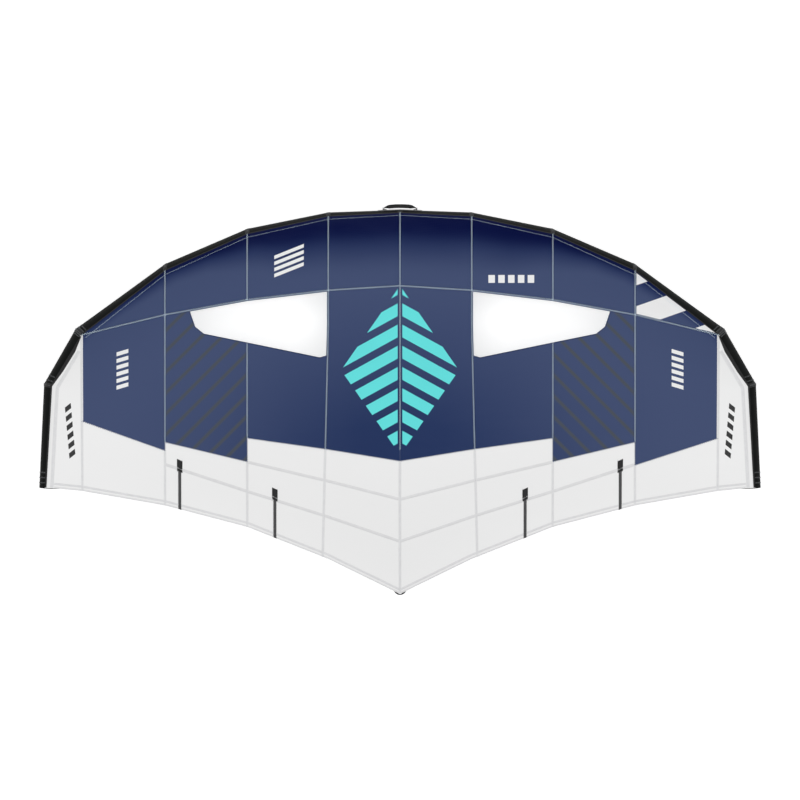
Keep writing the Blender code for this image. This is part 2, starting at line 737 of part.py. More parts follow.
def loop_mesh(name, length, depth, grip_thickness, grip_width):
    """A padded webbing loop between two pivots on its x axis. It hangs to -z as a flattened arch."""
    power = 2 / HANDLE_ARCH_POWER
    turn = np.linspace(0, math.pi, HANDLE_STATIONS)
    x = -np.sign(np.cos(turn)) * np.abs(np.cos(turn)) ** power * length / 2
    z = -np.abs(np.sin(turn)) ** power * depth
    path = np.stack([x, np.zeros_like(x), z], axis=1)
    rise = np.array([0.0, 0.0, HANDLE_END_RISE])
    path = np.concatenate([[path[0] + rise], path, [path[-1] + rise]])
    run = np.gradient(path, axis=0)
    run /= np.linalg.norm(run, axis=1, keepdims=True)
    run[0] = (0.0, 0.0, -1.0)
    run[-1] = (0.0, 0.0, 1.0)
    lengths = np.concatenate([[0.0], np.cumsum(np.linalg.norm(np.diff(path, axis=0), axis=1))])
    places = lengths / lengths[-1]
    rings = []
    for place, point, along in zip(places, path, run):
        near_end = min(place, 1 - place)
        grip = smooth((near_end - HANDLE_GRIP_SHARES[0]) / (HANDLE_GRIP_SHARES[1] - HANDLE_GRIP_SHARES[0]))
        flare = smooth(near_end / HANDLE_GRIP_SHARES[0])
        strap = lerp(WEBBING_END_WIDTH, WEBBING_WIDTH, flare)
        thickness = float(lerp(WEBBING_THICKNESS, grip_thickness, grip))
        inward, across = section(thickness, float(lerp(strap, grip_width, grip)))
        normal = np.array([-along[2], 0.0, along[0]])
        rings.append(point + np.outer(inward, normal) + np.outer(across, (0.0, 1.0, 0.0)))
    faces = tube_faces(len(rings), HANDLE_SIDES) + [tuple(range(HANDLE_SIDES))]
    total = len(rings) * HANDLE_SIDES
    faces.append(tuple(range(total - HANDLE_SIDES, total)))
    return mesh_from(name, np.concatenate(rings), faces)


def tab_mesh(name, top):
    """A sewn tab: a rounded plate from inside the patch out past the pivot, centred on x."""
    turns = np.linspace(0, -math.pi, ARC_POINTS)
    outline = [(TAB_RADIUS * math.cos(t), TAB_RADIUS * math.sin(t)) for t in turns]
    outline += [(-TAB_RADIUS, top), (TAB_RADIUS, top)]
    count = len(outline)
    points = [(side * TAB_THICKNESS / 2, y, z) for side in (-1, 1) for y, z in outline]
    faces = [tuple(range(count)), tuple(range(count, 2 * count))]
    for k in range(count):
        n = (k + 1) % count
        faces.append((k, n, n + count, k + count))
    return mesh_from(name, points, faces)


def tab_place(length):
    """Middle of a tab, out from the middle of its handle: just outside the loop's leg."""
    return length / 2 + WEBBING_THICKNESS / 2 + PIVOT_GAP + TAB_THICKNESS / 2


def add_tabs(patch, name, frame, length, tops):
    """Two tabs outside the loop's legs, each reaching up to its own height inside the patch."""
    for number, (side, top) in enumerate(zip((-1, 1), tops)):
        shift = Matrix.Translation((side * tab_place(length), 0.0, 0.0))
        mesh = tab_mesh(f"{name}_tab_{number}", top)
        combine(patch, add_helper(f"{name}_tab_{number}", mesh, frame @ shift), "UNION")


def frame_matrix(origin, x_axis, z_axis):
    x_axis = Vector(x_axis).normalized()
    z_axis = Vector(z_axis).normalized()
    y_axis = z_axis.cross(x_axis)
    turn = Matrix((x_axis, y_axis, z_axis)).transposed().to_4x4()
    return Matrix.Translation(origin) @ turn


def front_patch_index():
    """The tube corner nearest its foremost line."""
    angles = ring_angles(0)
    return int(np.argmin(np.abs(np.cos(angles) - 1.0)))


def make_front_handle(materials):
    """The loop on the nose of the leading edge, its patch over both middle sleeves."""
    index = front_patch_index()
    columns = (-FRONT_PATCH_HALF_LENGTH, 0.0, FRONT_PATCH_HALF_LENGTH)
    reach = outline_point(1)[0]
    skins = []
    for offset in (CLOTH_GAP, CLOTH_GAP + PATCH_THICKNESS):
        near, far = ring(0, offset), ring(1, offset)
        grid = []
        for x in columns:
            picks = range(index - FRONT_PATCH_STEPS, index + 2)
            line = [lerp(near[k], far[k], abs(x) / reach) for k in picks]
            grid.append([mirrored(p, -1.0 if x < 0 else 1.0) for p in line])
        skins.append(np.array(grid))
    mesh = sheet_solid("front_handle_patch", skins[0], skins[1])
    patch = add_object("front_handle_patch", mesh, materials["black webbing"])
    middle, _, _, radius = ring_frame(0)
    out = Vector((0.0, math.cos(ring_angles(0)[index]), math.sin(ring_angles(0)[index])))
    base = Vector(middle) + out * (radius + CLOTH_GAP + PATCH_THICKNESS)
    standoff = FRONT_HANDLE_STANDOFF - CLOTH_GAP - PATCH_THICKNESS
    frame = frame_matrix(base + out * standoff, (1.0, 0.0, 0.0), -out)
    top = standoff + tube_fall(tab_place(FRONT_HANDLE_LENGTH)) + PATCH_THICKNESS / 2
    add_tabs(patch, "front_handle", frame, FRONT_HANDLE_LENGTH, (top, top))
    mesh = loop_mesh(
        "front_handle",
        FRONT_HANDLE_LENGTH,
        FRONT_HANDLE_DEPTH,
        FRONT_HANDLE_GRIP_THICKNESS,
        FRONT_HANDLE_GRIP_WIDTH,
    )
    add_object("front_handle", mesh, materials["black foam"], frame)


def tube_fall(x):
    """How far the middle of the leading edge has swept back at this distance from the centre."""
    return TIP_SETBACK * BEND_SETBACK_SHARES[1] * x / outline_point(1)[0]


def strut_surface(y, corner, offset):
    """A point on the faceted strut: between two rings, along one of its corner lines."""
    stations = strut_stations()
    rings = np.array([strut_ring(station, offset)[corner] for station in stations])
    order = np.argsort(stations)
    ys = np.array(stations)[order]
    return np.array([np.interp(y, ys, rings[order][:, axis]) for axis in range(3)])


def reach_of_patch(foot, up):
    """How far up this way from a tab's foot the middle of the strut's patch lies."""
    bottom = STRUT_SIDES * 3 // 4
    reach = STRUT_HANDLE_STANDOFF
    for _ in range(TAB_SEARCH_STEPS):
        inside = strut_surface((foot + up * reach).y, bottom, CLOTH_GAP + PATCH_THICKNESS / 2)
        reach = (inside[2] - foot.z) / up.z
    return reach


def strut_pivots(share):
    """The two pivot points of a strut handle, from its middle's place along the chord."""
    bottom = STRUT_SIDES * 3 // 4
    middle = setback(share)
    drop = CLOTH_GAP + PATCH_THICKNESS + STRUT_HANDLE_STANDOFF
    ends = []
    for side in (1, -1):
        point = strut_surface(middle + side * STRUT_HANDLE_LENGTH / 2, bottom, 0.0)
        ends.append(Vector(point) - Vector((0.0, 0.0, drop)))
    return ends


def make_strut_handles(materials):
    """Two loops in line under the strut, hung from one long patch."""
    bottom = STRUT_SIDES * 3 // 4
    half = STRUT_HANDLE_LENGTH / 2 + PATCH_OVERHANG
    first = setback(STRUT_HANDLE_SETBACK_SHARES[0]) + half
    last = setback(STRUT_HANDLE_SETBACK_SHARES[1]) - half
    rows = [first, *(y for y in strut_stations() if last < y < first), last]
    skins = []
    for offset in (CLOTH_GAP, CLOTH_GAP + PATCH_THICKNESS):
        corners = range(bottom - STRUT_PATCH_STEPS, bottom + STRUT_PATCH_STEPS + 1)
        skins.append(np.array([[strut_surface(y, k, offset) for k in corners] for y in rows]))
    mesh = sheet_solid("strut_handle_patch", skins[0], skins[1])
    patch = add_object("strut_handle_patch", mesh, materials["black webbing"])
    for name, share in zip(("strut_handle_front", "strut_handle_rear"), STRUT_HANDLE_SETBACK_SHARES):
        front, rear = strut_pivots(share)
        along = (rear - front).normalized()
        up = Vector((1.0, 0.0, 0.0)).cross(along) * -1
        frame = frame_matrix((front + rear) / 2, along, up)
        length = (rear - front).length
        tops = []
        for side in (-1, 1):
            foot = frame @ Vector((side * tab_place(length), 0.0, 0.0))
            tops.append(reach_of_patch(foot, up))
        add_tabs(patch, name, frame, length, tops)
        mesh = loop_mesh(
            name, length, STRUT_HANDLE_DEPTH, STRUT_HANDLE_GRIP_THICKNESS, STRUT_HANDLE_GRIP_WIDTH
        )
        add_object(name, mesh, materials["black foam"], frame)


# Valve, port and battens

def turned(name, profile, sides=ROUND_SIDES):
    """A turned solid from (radius, height) pairs that go once round the section of its wall or body."""
    angles = np.linspace(0, 2 * math.pi, sides, endpoint=False)
    rings = [[(r * math.cos(a), r * math.sin(a), z) for a in angles] for r, z in profile]
    points = np.array(rings).reshape(-1, 3)
    count = len(profile)
    faces = []
    for i in range(count):
        for k in range(sides):
            n = (k + 1) % sides
            j = (i + 1) % count
            faces.append((i * sides + k, i * sides + n, j * sides + n, j * sides + k))
    return mesh_from(name, points, faces)


def solid_turned(name, profile, sides=ROUND_SIDES):
    """A turned solid with flat ends, from (radius, height) pairs up its outside."""
    angles = np.linspace(0, 2 * math.pi, sides, endpoint=False)
    rings = [[(r * math.cos(a), r * math.sin(a), z) for a in angles] for r, z in profile]
    total = len(profile) * sides
    faces = tube_faces(len(profile), sides) + [tuple(range(sides)), tuple(range(total - sides, total))]
    return mesh_from(name, np.array(rings).reshape(-1, 3), faces)


def box_mesh(name, low, high):
    points = [(x, y, z) for x in (low[0], high[0]) for y in (low[1], high[1]) for z in (low[2], high[2])]
    faces = [(0, 1, 3, 2), (4, 6, 7, 5), (0, 4, 5, 1), (2, 3, 7, 6), (0, 2, 6, 4), (1, 5, 7, 3)]
    return mesh_from(name, points, faces)


def valve_frame():
    """Where the valve sits: on the tube's back, its z axis out of the tube and its y axis up."""
    share = VALVE_OFFSET / outline_point(1)[0]
    middle = lerp(ring_frame(0)[0], ring_frame(1)[0], share)
    depths = [ring_frame(bend)[2] * ring_frame(bend)[3] for bend in (0, 1)]
    radius = lerp(*depths, share)
    backs = [ring_frame(bend)[0] - depths[bend] * ring_frame(bend)[1] for bend in (0, 1)]
    run = mirrored(backs[0] - backs[1], SIDES["left"])
    along = Vector((run[0], run[1], 0.0)).normalized()
    angle = math.radians(VALVE_ANGLE_DEGREES)
    out = Vector((-along.y, along.x, 0.0)) * math.cos(angle) + Vector((0.0, 0.0, math.sin(angle)))
    place = Vector(mirrored(middle, SIDES["left"])) + out * float(radius)
    return frame_matrix(place, along, out)


def hinge_bar(name, low_x, high_x, reach):
    """A bar round the cap's hinge line with a web that reaches back towards the valve."""
    turns = np.linspace(-math.pi / 2, math.pi / 2, ARC_POINTS)
    top = VALVE_HEIGHT + SEAM_GAP
    radius = VALVE_KNUCKLE_RADIUS
    outline = [(VALVE_HINGE_DISTANCE + radius * math.cos(t), top + radius * math.sin(t)) for t in turns]
    outline += reach
    count = len(outline)
    points = [(x, y, z) for x in (low_x, high_x) for y, z in outline]
    faces = [tuple(range(count)), tuple(range(count, 2 * count))]
    for k in range(count):
        n = (k + 1) % count
        faces.append((k, n, n + count, k + count))
    return mesh_from(name, points, faces)


def make_valve(materials):
    frame = valve_frame()
    seat = SEAM_GAP
    flange_top = seat + VALVE_FLANGE_THICKNESS
    profile = [
        (VALVE_BORE_RADIUS, -VALVE_DEPTH),
        (VALVE_BODY_RADIUS, -VALVE_DEPTH),
        (VALVE_BODY_RADIUS, seat),
        (VALVE_FLANGE_RADIUS, seat),
        (VALVE_FLANGE_RADIUS, flange_top),
        (VALVE_BODY_RADIUS, flange_top),
        (VALVE_BODY_RADIUS, VALVE_HEIGHT),
        (VALVE_BORE_RADIUS, VALVE_HEIGHT),
    ]
    base = add_object("valve_base", turned("valve_base", profile), materials["black plastic"], frame)
    knuckle = VALVE_KNUCKLE_LENGTH / 2
    wall = VALVE_BODY_RADIUS - VALVE_CLEARANCE
    ear_reach = [(wall, VALVE_HEIGHT), (wall, seat + VALVE_FLANGE_THICKNESS / 2)]
    ear_reach += [(VALVE_HINGE_DISTANCE, seat + VALVE_FLANGE_THICKNESS / 2)]
    for side in (-1, 1):
        ends = sorted((side * (knuckle + PIVOT_GAP), side * (knuckle + PIVOT_GAP + VALVE_EAR_THICKNESS)))
        ear = hinge_bar(f"valve_ear_{side}", *ends, ear_reach)
        combine(base, add_helper(f"valve_ear_{side}", ear, frame), "UNION")
    core_radius = VALVE_BORE_RADIUS - VALVE_CLEARANCE
    core = solid_turned("valve_core", [(core_radius, VALVE_CORE_BOTTOM), (core_radius, VALVE_CORE_TOP)])
    core = add_object("valve_core", core, materials["grey plastic"], frame)
    half_key = (VALVE_KEY_LENGTH / 2, VALVE_KEY_THICKNESS / 2)
    low = (-half_key[0], -half_key[1], VALVE_CORE_TOP - VALVE_CLEARANCE)
    high = (half_key[0], half_key[1], VALVE_CORE_TOP + VALVE_KEY_THICKNESS)
    key = add_helper("valve_key", box_mesh("valve_key", low, high), frame)
    combine(core, key, "UNION")
    make_valve_cap(materials, frame)
    return frame


def make_valve_cap(materials, frame):
    """The cap turns on its hinge line, where its origin is."""
    under = VALVE_HEIGHT + SEAM_GAP
    shift = Matrix.Translation((0.0, -VALVE_HINGE_DISTANCE, -under))
    profile = [
        (VALVE_CAP_RADIUS, under),
        (VALVE_CAP_RADIUS, under + VALVE_CAP_THICKNESS),
        (VALVE_CAP_RADIUS - VALVE_CAP_CROWN, under + VALVE_CAP_THICKNESS + VALVE_CAP_CROWN / 2),
        (VALVE_CAP_RADIUS / 2, under + VALVE_CAP_THICKNESS + VALVE_CAP_CROWN),
    ]
    mesh = solid_turned("valve_cap", profile)
    mesh.transform(shift)
    cap = add_object("valve_cap", mesh, materials["black plastic"], frame @ shift.inverted())
    knuckle = VALVE_KNUCKLE_LENGTH / 2
    inner = VALVE_CAP_RADIUS - VALVE_CAP_CROWN
    reach = [(inner, under + VALVE_KNUCKLE_RADIUS), (inner, under + SEAM_GAP)]
    reach += [(VALVE_HINGE_DISTANCE - VALVE_KNUCKLE_RADIUS, under + SEAM_GAP)]
    bar = hinge_bar("valve_knuckle", -knuckle, knuckle, reach)
    bar.transform(shift)
    combine(cap, add_helper("valve_knuckle", bar, frame @ shift.inverted()), "UNION")


def cut_valve_hole(target, frame):
    radius = VALVE_BODY_RADIUS + VALVE_CLEARANCE
    depth = VALVE_DEPTH + CUT_OVERRUN
    mesh = solid_turned(f"{target.name}_valve_hole", [(radius, -depth), (radius, depth)])
    combine(target, add_helper(f"{target.name}_valve_hole", mesh, frame), "DIFFERENCE")


def port_frame():
    """The port runs back from the tube into the strut, on the strut's axis height."""
    middle, _, _, radius = ring_frame(0)
    height = middle[2] + STRUT_AXIS_LIFT
    place = Vector((PORT_OFFSET, middle[1] - radius, height))
    return frame_matrix(place, (1.0, 0.0, 0.0), (0.0, -1.0, 0.0))


def make_port(materials):
    frame = port_frame()
    profile = [
        (PORT_BORE_RADIUS, -PORT_REACH),
        (PORT_RADIUS, -PORT_REACH),
        (PORT_RADIUS, PORT_REACH),
        (PORT_BORE_RADIUS, PORT_REACH),
    ]
    mesh = turned("bladder_port", profile, STRUT_SIDES)
    add_object("bladder_port", mesh, materials["grey plastic"], frame)
    return frame


def cut_port_hole(target, frame):
    radius = PORT_RADIUS + SEAM_GAP
    depth = PORT_REACH + CUT_OVERRUN
    mesh = solid_turned(f"{target.name}_port_hole", [(radius, -depth), (radius, depth)], STRUT_SIDES)
    combine(target, add_helper(f"{target.name}_port_hole", mesh, frame), "DIFFERENCE")


def batten_column(x):
    """The canopy column that this distance from the centre falls in, and how far across it."""
    spans = [HALF_SPAN * share for share in BEND_SPAN_SHARES[: SEAMS - 1]]
    column = max(i for i, span in enumerate(spans) if span <= x)
    return column, across_column(column, x / HALF_SPAN)


def batten_rows(x):
    """Distances back along a pocket: its patch, its shoulder, the canopy's own rows, the rear edge."""
    column, across = batten_column(x)
    rear = float(lerp(rear_edge(column), rear_edge(column + 1), across))
    front = float(lerp(colour_seam(column, 0), colour_seam(column, 1), across))
    start = rear + BATTEN_LENGTH
    patch_end = start - BATTEN_PATCH_LENGTH
    rows = [(start, BATTEN_PATCH_WIDTH), (patch_end, BATTEN_PATCH_WIDTH)]
    rows.append((patch_end - BATTEN_SHOULDER, BATTEN_WIDTH))
    rows.append((rear, BATTEN_WIDTH))
    for y in np.linspace(front, rear, REAR_ROWS + 1)[1:-1]:
        if y < start and abs(y - patch_end) > BATTEN_SHOULDER:
            rows.append((float(y), BATTEN_PATCH_WIDTH if y > patch_end else BATTEN_WIDTH))
    return sorted(rows, reverse=True)


def make_battens(materials):
    """Stiffeners in black pockets, sewn on top of the rear panels."""
    for side_name, side in SIDES.items():
        for place, x in BATTEN_OFFSETS.items():
            lower = []
            for y, width in batten_rows(x):
                line = []
                for across in (-width / 2, 0.0, width / 2):
                    column, share = batten_column(x + across)
                    line.append(canopy_point(column, share, y))
                lower.append(line)
            lower = np.array(lower) + np.array([0.0, 0.0, CANOPY_THICKNESS + BATTEN_GAP])
            upper = lower + np.array([0.0, 0.0, BATTEN_THICKNESS])
            name = f"batten_{side_name}_{place}"
            mesh = sheet_solid(name, mirrored(lower, side), mirrored(upper, side))
            add_object(name, mesh, materials["black webbing"])


def main():
    clear_scene()
    materials = make_materials()
    sleeves = make_sleeves(materials)
    tube_bladder = make_leading_edge_bladder(materials)
    make_canopy(materials)
    strut_bladder = make_strut(materials)
    make_front_handle(materials)
    make_strut_handles(materials)
    valve = make_valve(materials)
    cut_valve_hole(sleeves["leading_edge_sleeve_left_1"], valve)
    cut_valve_hole(tube_bladder, valve)
    port = make_port(materials)
    cut_port_hole(sleeves["leading_edge_sleeve_right_1"], port)
    cut_port_hole(tube_bladder, port)
    cut_port_hole(strut_bladder, port)
    make_battens(materials)


main()
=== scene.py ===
import math
import bmesh
import bpy
import numpy as np
from mathutils.bvhtree import BVHTree
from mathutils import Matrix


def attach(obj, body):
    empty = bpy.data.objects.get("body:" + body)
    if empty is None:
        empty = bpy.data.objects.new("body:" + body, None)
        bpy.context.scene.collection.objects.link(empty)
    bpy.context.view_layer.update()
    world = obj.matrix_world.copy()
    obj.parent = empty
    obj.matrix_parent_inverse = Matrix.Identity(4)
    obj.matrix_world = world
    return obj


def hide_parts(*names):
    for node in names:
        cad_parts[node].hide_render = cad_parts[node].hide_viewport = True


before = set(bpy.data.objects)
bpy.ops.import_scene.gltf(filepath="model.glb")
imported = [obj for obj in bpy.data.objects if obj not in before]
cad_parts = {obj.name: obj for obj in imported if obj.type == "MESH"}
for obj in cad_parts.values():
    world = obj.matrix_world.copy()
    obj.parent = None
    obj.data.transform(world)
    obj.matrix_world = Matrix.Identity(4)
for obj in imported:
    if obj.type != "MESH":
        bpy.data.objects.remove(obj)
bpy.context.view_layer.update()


# Camera: straight above, far away, as the photograph is
view = {"height": 150.0, "field": 4.08, "middleY": -0.00125, "sensor": 36.0, "clipEnd": 400.0}
cameraData = bpy.data.cameras.new("viewCamera")
cameraData.sensor_width = view["sensor"]
cameraData.lens = view["sensor"] * view["height"] / view["field"]
cameraData.clip_end = view["clipEnd"]
camera = bpy.data.objects.new("viewCamera", cameraData)
camera.location = (0.0, view["middleY"], view["height"])
bpy.context.scene.collection.objects.link(camera)
bpy.context.scene.camera = camera
print("camera placed")


# Shader maths as plain expressions
def linear(red, green, blue):
    # screen colour 0-255 to scene values: c / 12.92 below 0.04045, else ((c + 0.055) / 1.055) ** 2.4
    screen = np.array([red, green, blue]) / 255
    values = np.where(screen <= 0.04045, screen / 12.92, ((screen + 0.055) / 1.055) ** 2.4)
    return (*values.tolist(), 1.0)


def scaled(colour, factor):
    # the colour times a factor, held at 1
    return (*(min(1.0, factor * part) for part in colour[:3]), 1.0)


class Wire:
    # one output of a node; arithmetic and comparisons with it add Math nodes behind it
    def __init__(self, finish, socket):
        self.finish = finish
        self.socket = socket

    def sum(self, operation, first, second=0.0):
        return self.finish.node("ShaderNodeMath", {"operation": operation}, {0: first, 1: second})

    def __rsub__(self, other):
        return self.sum("SUBTRACT", other, self)

    def clamped(self, low, high):
        # 0 below low, 1 above high, and smooth between them
        values = {0: self, 1: low, 2: high, 3: 0.0, 4: 1.0}
        return self.finish.node("ShaderNodeMapRange", {"interpolation_type": "SMOOTHSTEP"}, values)


def mathMethod(operation):
    return lambda wire, other=0.0: wire.sum(operation, wire, other)


for method, operation in (
        ("__add__", "ADD"), ("__radd__", "ADD"), ("__sub__", "SUBTRACT"), ("__mul__", "MULTIPLY"),
        ("__rmul__", "MULTIPLY"), ("__truediv__", "DIVIDE"), ("__mod__", "FLOORED_MODULO"),
        ("__gt__", "GREATER_THAN"), ("__lt__", "LESS_THAN"), ("__abs__", "ABSOLUTE"), ("sine", "SINE")):
    setattr(Wire, method, mathMethod(operation))


class Finish:
    # one material: a Principled shader and the nodes that feed it
    def __init__(self, name, **values):
        self.material = bpy.data.materials.new(name)
        self.material.use_nodes = True
        self.tree = self.material.node_tree
        self.shader = self.tree.nodes["Principled BSDF"]
        for key, value in values.items():
            self.shader.inputs[key.replace("_", " ")].default_value = value

    def node(self, kind, settings=None, values=None, output=0):
        made = self.tree.nodes.new(kind)
        for key, value in (settings or {}).items():
            setattr(made, key, value)
        for key, value in (values or {}).items():
            if isinstance(value, Wire):
                self.tree.links.new(value.socket, made.inputs[key])
            else:
                made.inputs[key].default_value = value
        return Wire(self, made.outputs[output])

    def place(self):
        return self.node("ShaderNodeTexCoord", output="Object")

    def parted(self, vector):
        # the three numbers of a vector
        split = self.node("ShaderNodeSeparateXYZ", None, {0: vector}).socket.node
        return [Wire(self, socket) for socket in split.outputs]

    def sewnPlace(self):
        # metres along the cloth and across it, from the piece's own map
        return self.parted(self.node("ShaderNodeUVMap", {"uv_map": "place"}))[:2]

    def noise(self, scale, detail=2.0, roughness=0.5, vector=None):
        values = {"Vector": vector or self.place(), "Scale": scale, "Detail": detail, "Roughness": roughness}
        return self.node("ShaderNodeTexNoise", None, values, "Fac")

    def mixed(self, share, first, second):
        values = {0: share, 6: first, 7: second}
        return self.node("ShaderNodeMix", {"data_type": "RGBA"}, values, 2)

    def gridLines(self, pitch, low, high):
        # a square grid: each cell's distance from its middle line, softened between low and high
        lines = [abs((wire / pitch) % 1.0 - 0.5).clamped(low, high) for wire in self.sewnPlace()]
        return lines[0] + lines[1]

    def feed(self, **wires):
        for key, wire in wires.items():
            self.tree.links.new(wire.socket, self.shader.inputs[key.replace("_", " ")])

    def bump(self, height, distance, strength=1.0):
        values = {"Height": height, "Distance": distance, "Strength": strength}
        self.feed(Normal=self.node("ShaderNodeBump", None, values, "Normal"))


# Form of the wing, as its solids have it
wing = {
    "halfSpan": 1.835, "chord": 1.958, "tipSetback": 1.415, "frontY": 0.96775, "tipRise": 0.34,
    "spanShares": (0.0, 0.199, 0.424, 0.652, 0.9, 0.987, 1.0),
    "setbackShares": (0.0, 0.009, 0.068, 0.195, 0.429, 0.627, 1.0),
    "radius": 0.125, "radiusShares": (1.0, 0.98, 0.94, 0.84, 0.66, 0.53, 0.45),
    "riseShares": (0.0, 0.0, 0.09, 0.26, 0.52, 0.82, 1.0),
    "coverStart": (28.0, 33.0, 38.0, 43.0, 60.0, 62.0, 62.0),
    "draftShares": (0.085, 0.083, 0.075, 0.065, 0.055), "draftPower": 1.5,
    "rearShares": (1.0, 0.909, 0.8255, 0.7695, 0.7318), "rearZ": 0.0665,
    "rearRiseShares": (0.0, 0.1, 0.3, 0.6, 0.98), "tipSeamSpan": 0.881, "leaveMargin": 2.0,
    "gap": 0.0005, "lift": 0.0012,
}


def blend(first, second, share):
    # first + (second - first) * share
    return first + (second - first) * share


def unit(vectors):
    return vectors / np.maximum(np.linalg.norm(vectors, axis=-1, keepdims=True), 1e-12)


def smoothShare(share):
    # s * s * (3 - 2 s) with s held in 0-1
    held = np.clip(share, 0.0, 1.0)
    return held * held * (3 - 2 * held)


def rawCamber(share):
    # v (1 - v) ** power
    return share * (1 - share) ** wing["draftPower"]


deepest = rawCamber(1 / (1 + wing["draftPower"]))


def camber(share):
    # the same with v held in 0-1, scaled to 1 at its deepest
    return rawCamber(np.clip(share, 0.0, 1.0)) / deepest


def ringFrames():
    # each bend's tube centre, level front direction, stretch that way and radius
    spans, backs = np.array(wing["spanShares"]), np.array(wing["setbackShares"])
    outline = np.stack([wing["halfSpan"] * spans, wing["frontY"] - wing["tipSetback"] * backs], 1)
    runs = unit(np.diff(outline, axis=0))
    radii = wing["radius"] * np.array(wing["radiusShares"])
    slopes = np.arctan2(np.abs(runs[:, 1]), runs[:, 0])
    along = np.tile([1.0, 0.0], (7, 1))
    along[4:6] = runs[4:6] + runs[3:5]
    along[6] = runs[5]
    along = unit(along)
    stretches = np.ones(7)
    stretches[1:4] = 1 / np.cos((slopes[1:4] + slopes[0:3]) / 2)
    stretches[4:6] = 1 / (along[4:6] * runs[4:6]).sum(1)
    fronts = np.stack([-along[:, 1], along[:, 0], np.zeros(7)], 1)
    heights = radii + wing["tipRise"] * np.array(wing["riseShares"])
    centres = np.column_stack([outline - fronts[:, :2] * (radii * stretches)[:, None], heights])
    return outline, centres, fronts, stretches, radii


outline, centres, fronts, stretches, radii = ringFrames()
seamSpans = np.array([*wing["spanShares"][:4], wing["tipSeamSpan"]])
seamEnds = np.stack([
    wing["halfSpan"] * seamSpans,
    wing["frontY"] - wing["chord"] * np.array(wing["rearShares"]),
    wing["rearZ"] + wing["tipRise"] * np.array(wing["rearRiseShares"])], 1)
drafts = np.array(wing["draftShares"])
tipStart = centres[4] + [0.0, 0.0, radii[4] + wing["gap"]]


def leaveAngles():
    # where the cloth parts from the tube, as an angle from the front over the top
    tops = centres[:, 2] + radii
    fall = (tops[:4] - seamEnds[:4, 2]) / (centres[:4, 1] - seamEnds[:4, 1])
    inner = 90 - np.degrees(np.arctan(drafts[:4] / deepest - fall))
    shares = (centres[4, 1] - centres[5:, 1]) / (centres[4, 1] - seamEnds[4, 1])
    points = blend(tipStart, seamEnds[4], shares[:, None])
    points[:, 2] += drafts[4] * (tipStart[1] - seamEnds[4, 1]) * camber(shares)
    falls = (tops[5:] - points[:, 2]) / (centres[5:, 0] - points[:, 0])
    return np.array([*inner, 90.0, *(90 + np.degrees(np.arctan(falls)) + wing["leaveMargin"])])


leave = leaveAngles()
coverStart = np.array(wing["coverStart"])


def ringPoint(bend, turn, offset):
    # centre + (radius + offset) * (cos a * stretch * front + sin a * up); turn 0-1 runs under the
    # cloth, 1-2 down the back and 2-3 up the front
    cover = blend(coverStart[bend], leave[bend], turn)
    back = blend(leave[bend], 270.0, turn - 1)
    front = blend(270.0, coverStart[bend] + 360.0, turn - 2)
    angle = np.radians(np.where(turn < 1, cover, np.where(turn < 2, back, front)))
    level = (np.cos(angle) * stretches[bend])[..., None] * fronts[bend]
    upright = np.sin(angle)[..., None] * np.array([0.0, 0.0, 1.0])
    return centres[bend] + (radii[bend] + offset)[..., None] * (level + upright)


def tubeAt(run, turn, offset=0.0):
    # straight between the rings of two bends, at the same share round the tube
    run, turn, offset = np.broadcast_arrays(np.asarray(run, float), turn, offset)
    bend = np.clip(np.floor(run).astype(int), 0, 5)
    near, far = ringPoint(bend, turn, offset), ringPoint(bend + 1, turn, offset)
    return blend(near, far, (run - bend)[..., None])


seamStarts = np.concatenate([ringPoint(np.arange(4), np.ones(4), np.full(4, wing["gap"])), [tipStart]])


def seamPoint(seam, share):
    # straight from the tube to the rear edge, plus depth * camber(share) upwards
    start, end = seamStarts[seam], seamEnds[seam]
    point = blend(start, end, share[..., None])
    point[..., 2] += drafts[seam] * (start[..., 1] - end[..., 1]) * camber(share)
    return point


def clothAt(across, back):
    # across counts seams from the centre, 0-4; back is -1 to 0 over the tube and 0 to 1 behind it
    across, back = np.broadcast_arrays(np.asarray(across, float), np.asarray(back, float))
    column = np.clip(np.floor(across).astype(int), 0, 3)
    share = np.clip(back, 0.0, 1.0)
    near, far = seamPoint(column, share), seamPoint(column + 1, share)
    sail = blend(near, far, (across - column)[..., None])
    wrap = tubeAt(across, np.clip(back, -1.0, 0.0) + 1, wing["gap"])
    return np.where((back < 0)[..., None], wrap, sail)


tipEdges = tubeAt(np.array([4.0, 5.0, 6.0]), np.ones(3), wing["gap"])


def tipRun(share):
    # the place along the tube whose back is this share of the way along the tip
    target = blend(tipEdges[0, 1], tipEdges[2, 1], share)
    return 4 + np.interp(-target, -tipEdges[:, 1], [0.0, 1.0, 2.0])


def tipAt(share, inward):
    # inward is -1 to 0 over the tube of the last two runs, then 0 to 1 straight across to the tip seam
    share, inward = np.broadcast_arrays(np.asarray(share, float), np.asarray(inward, float))
    run = tipRun(share)
    edge = tubeAt(run, np.ones_like(run), wing["gap"])
    sail = blend(edge, seamPoint(np.full(share.shape, 4), share), np.clip(inward, 0, 1)[..., None])
    wrap = tubeAt(run, np.clip(inward, -1.0, 0.0) + 1, wing["gap"])
    return np.where((inward < 0)[..., None], wrap, sail)


def acrossAt(x):
    # seam count at this distance from the centre, for points behind the tube
    return np.interp(np.abs(x) / wing["halfSpan"], wing["spanShares"][:5], np.arange(5.0))


def backAt(across, y):
    # share of the way back at this y: (start - y) / (start - end)
    start = np.interp(across, np.arange(5.0), seamStarts[:, 1])
    end = np.interp(across, np.arange(5.0), seamEnds[:, 1])
    return (start - y) / (start - end)


def upwards(normals):
    return np.where(normals[..., 2:] < 0, -normals, normals)


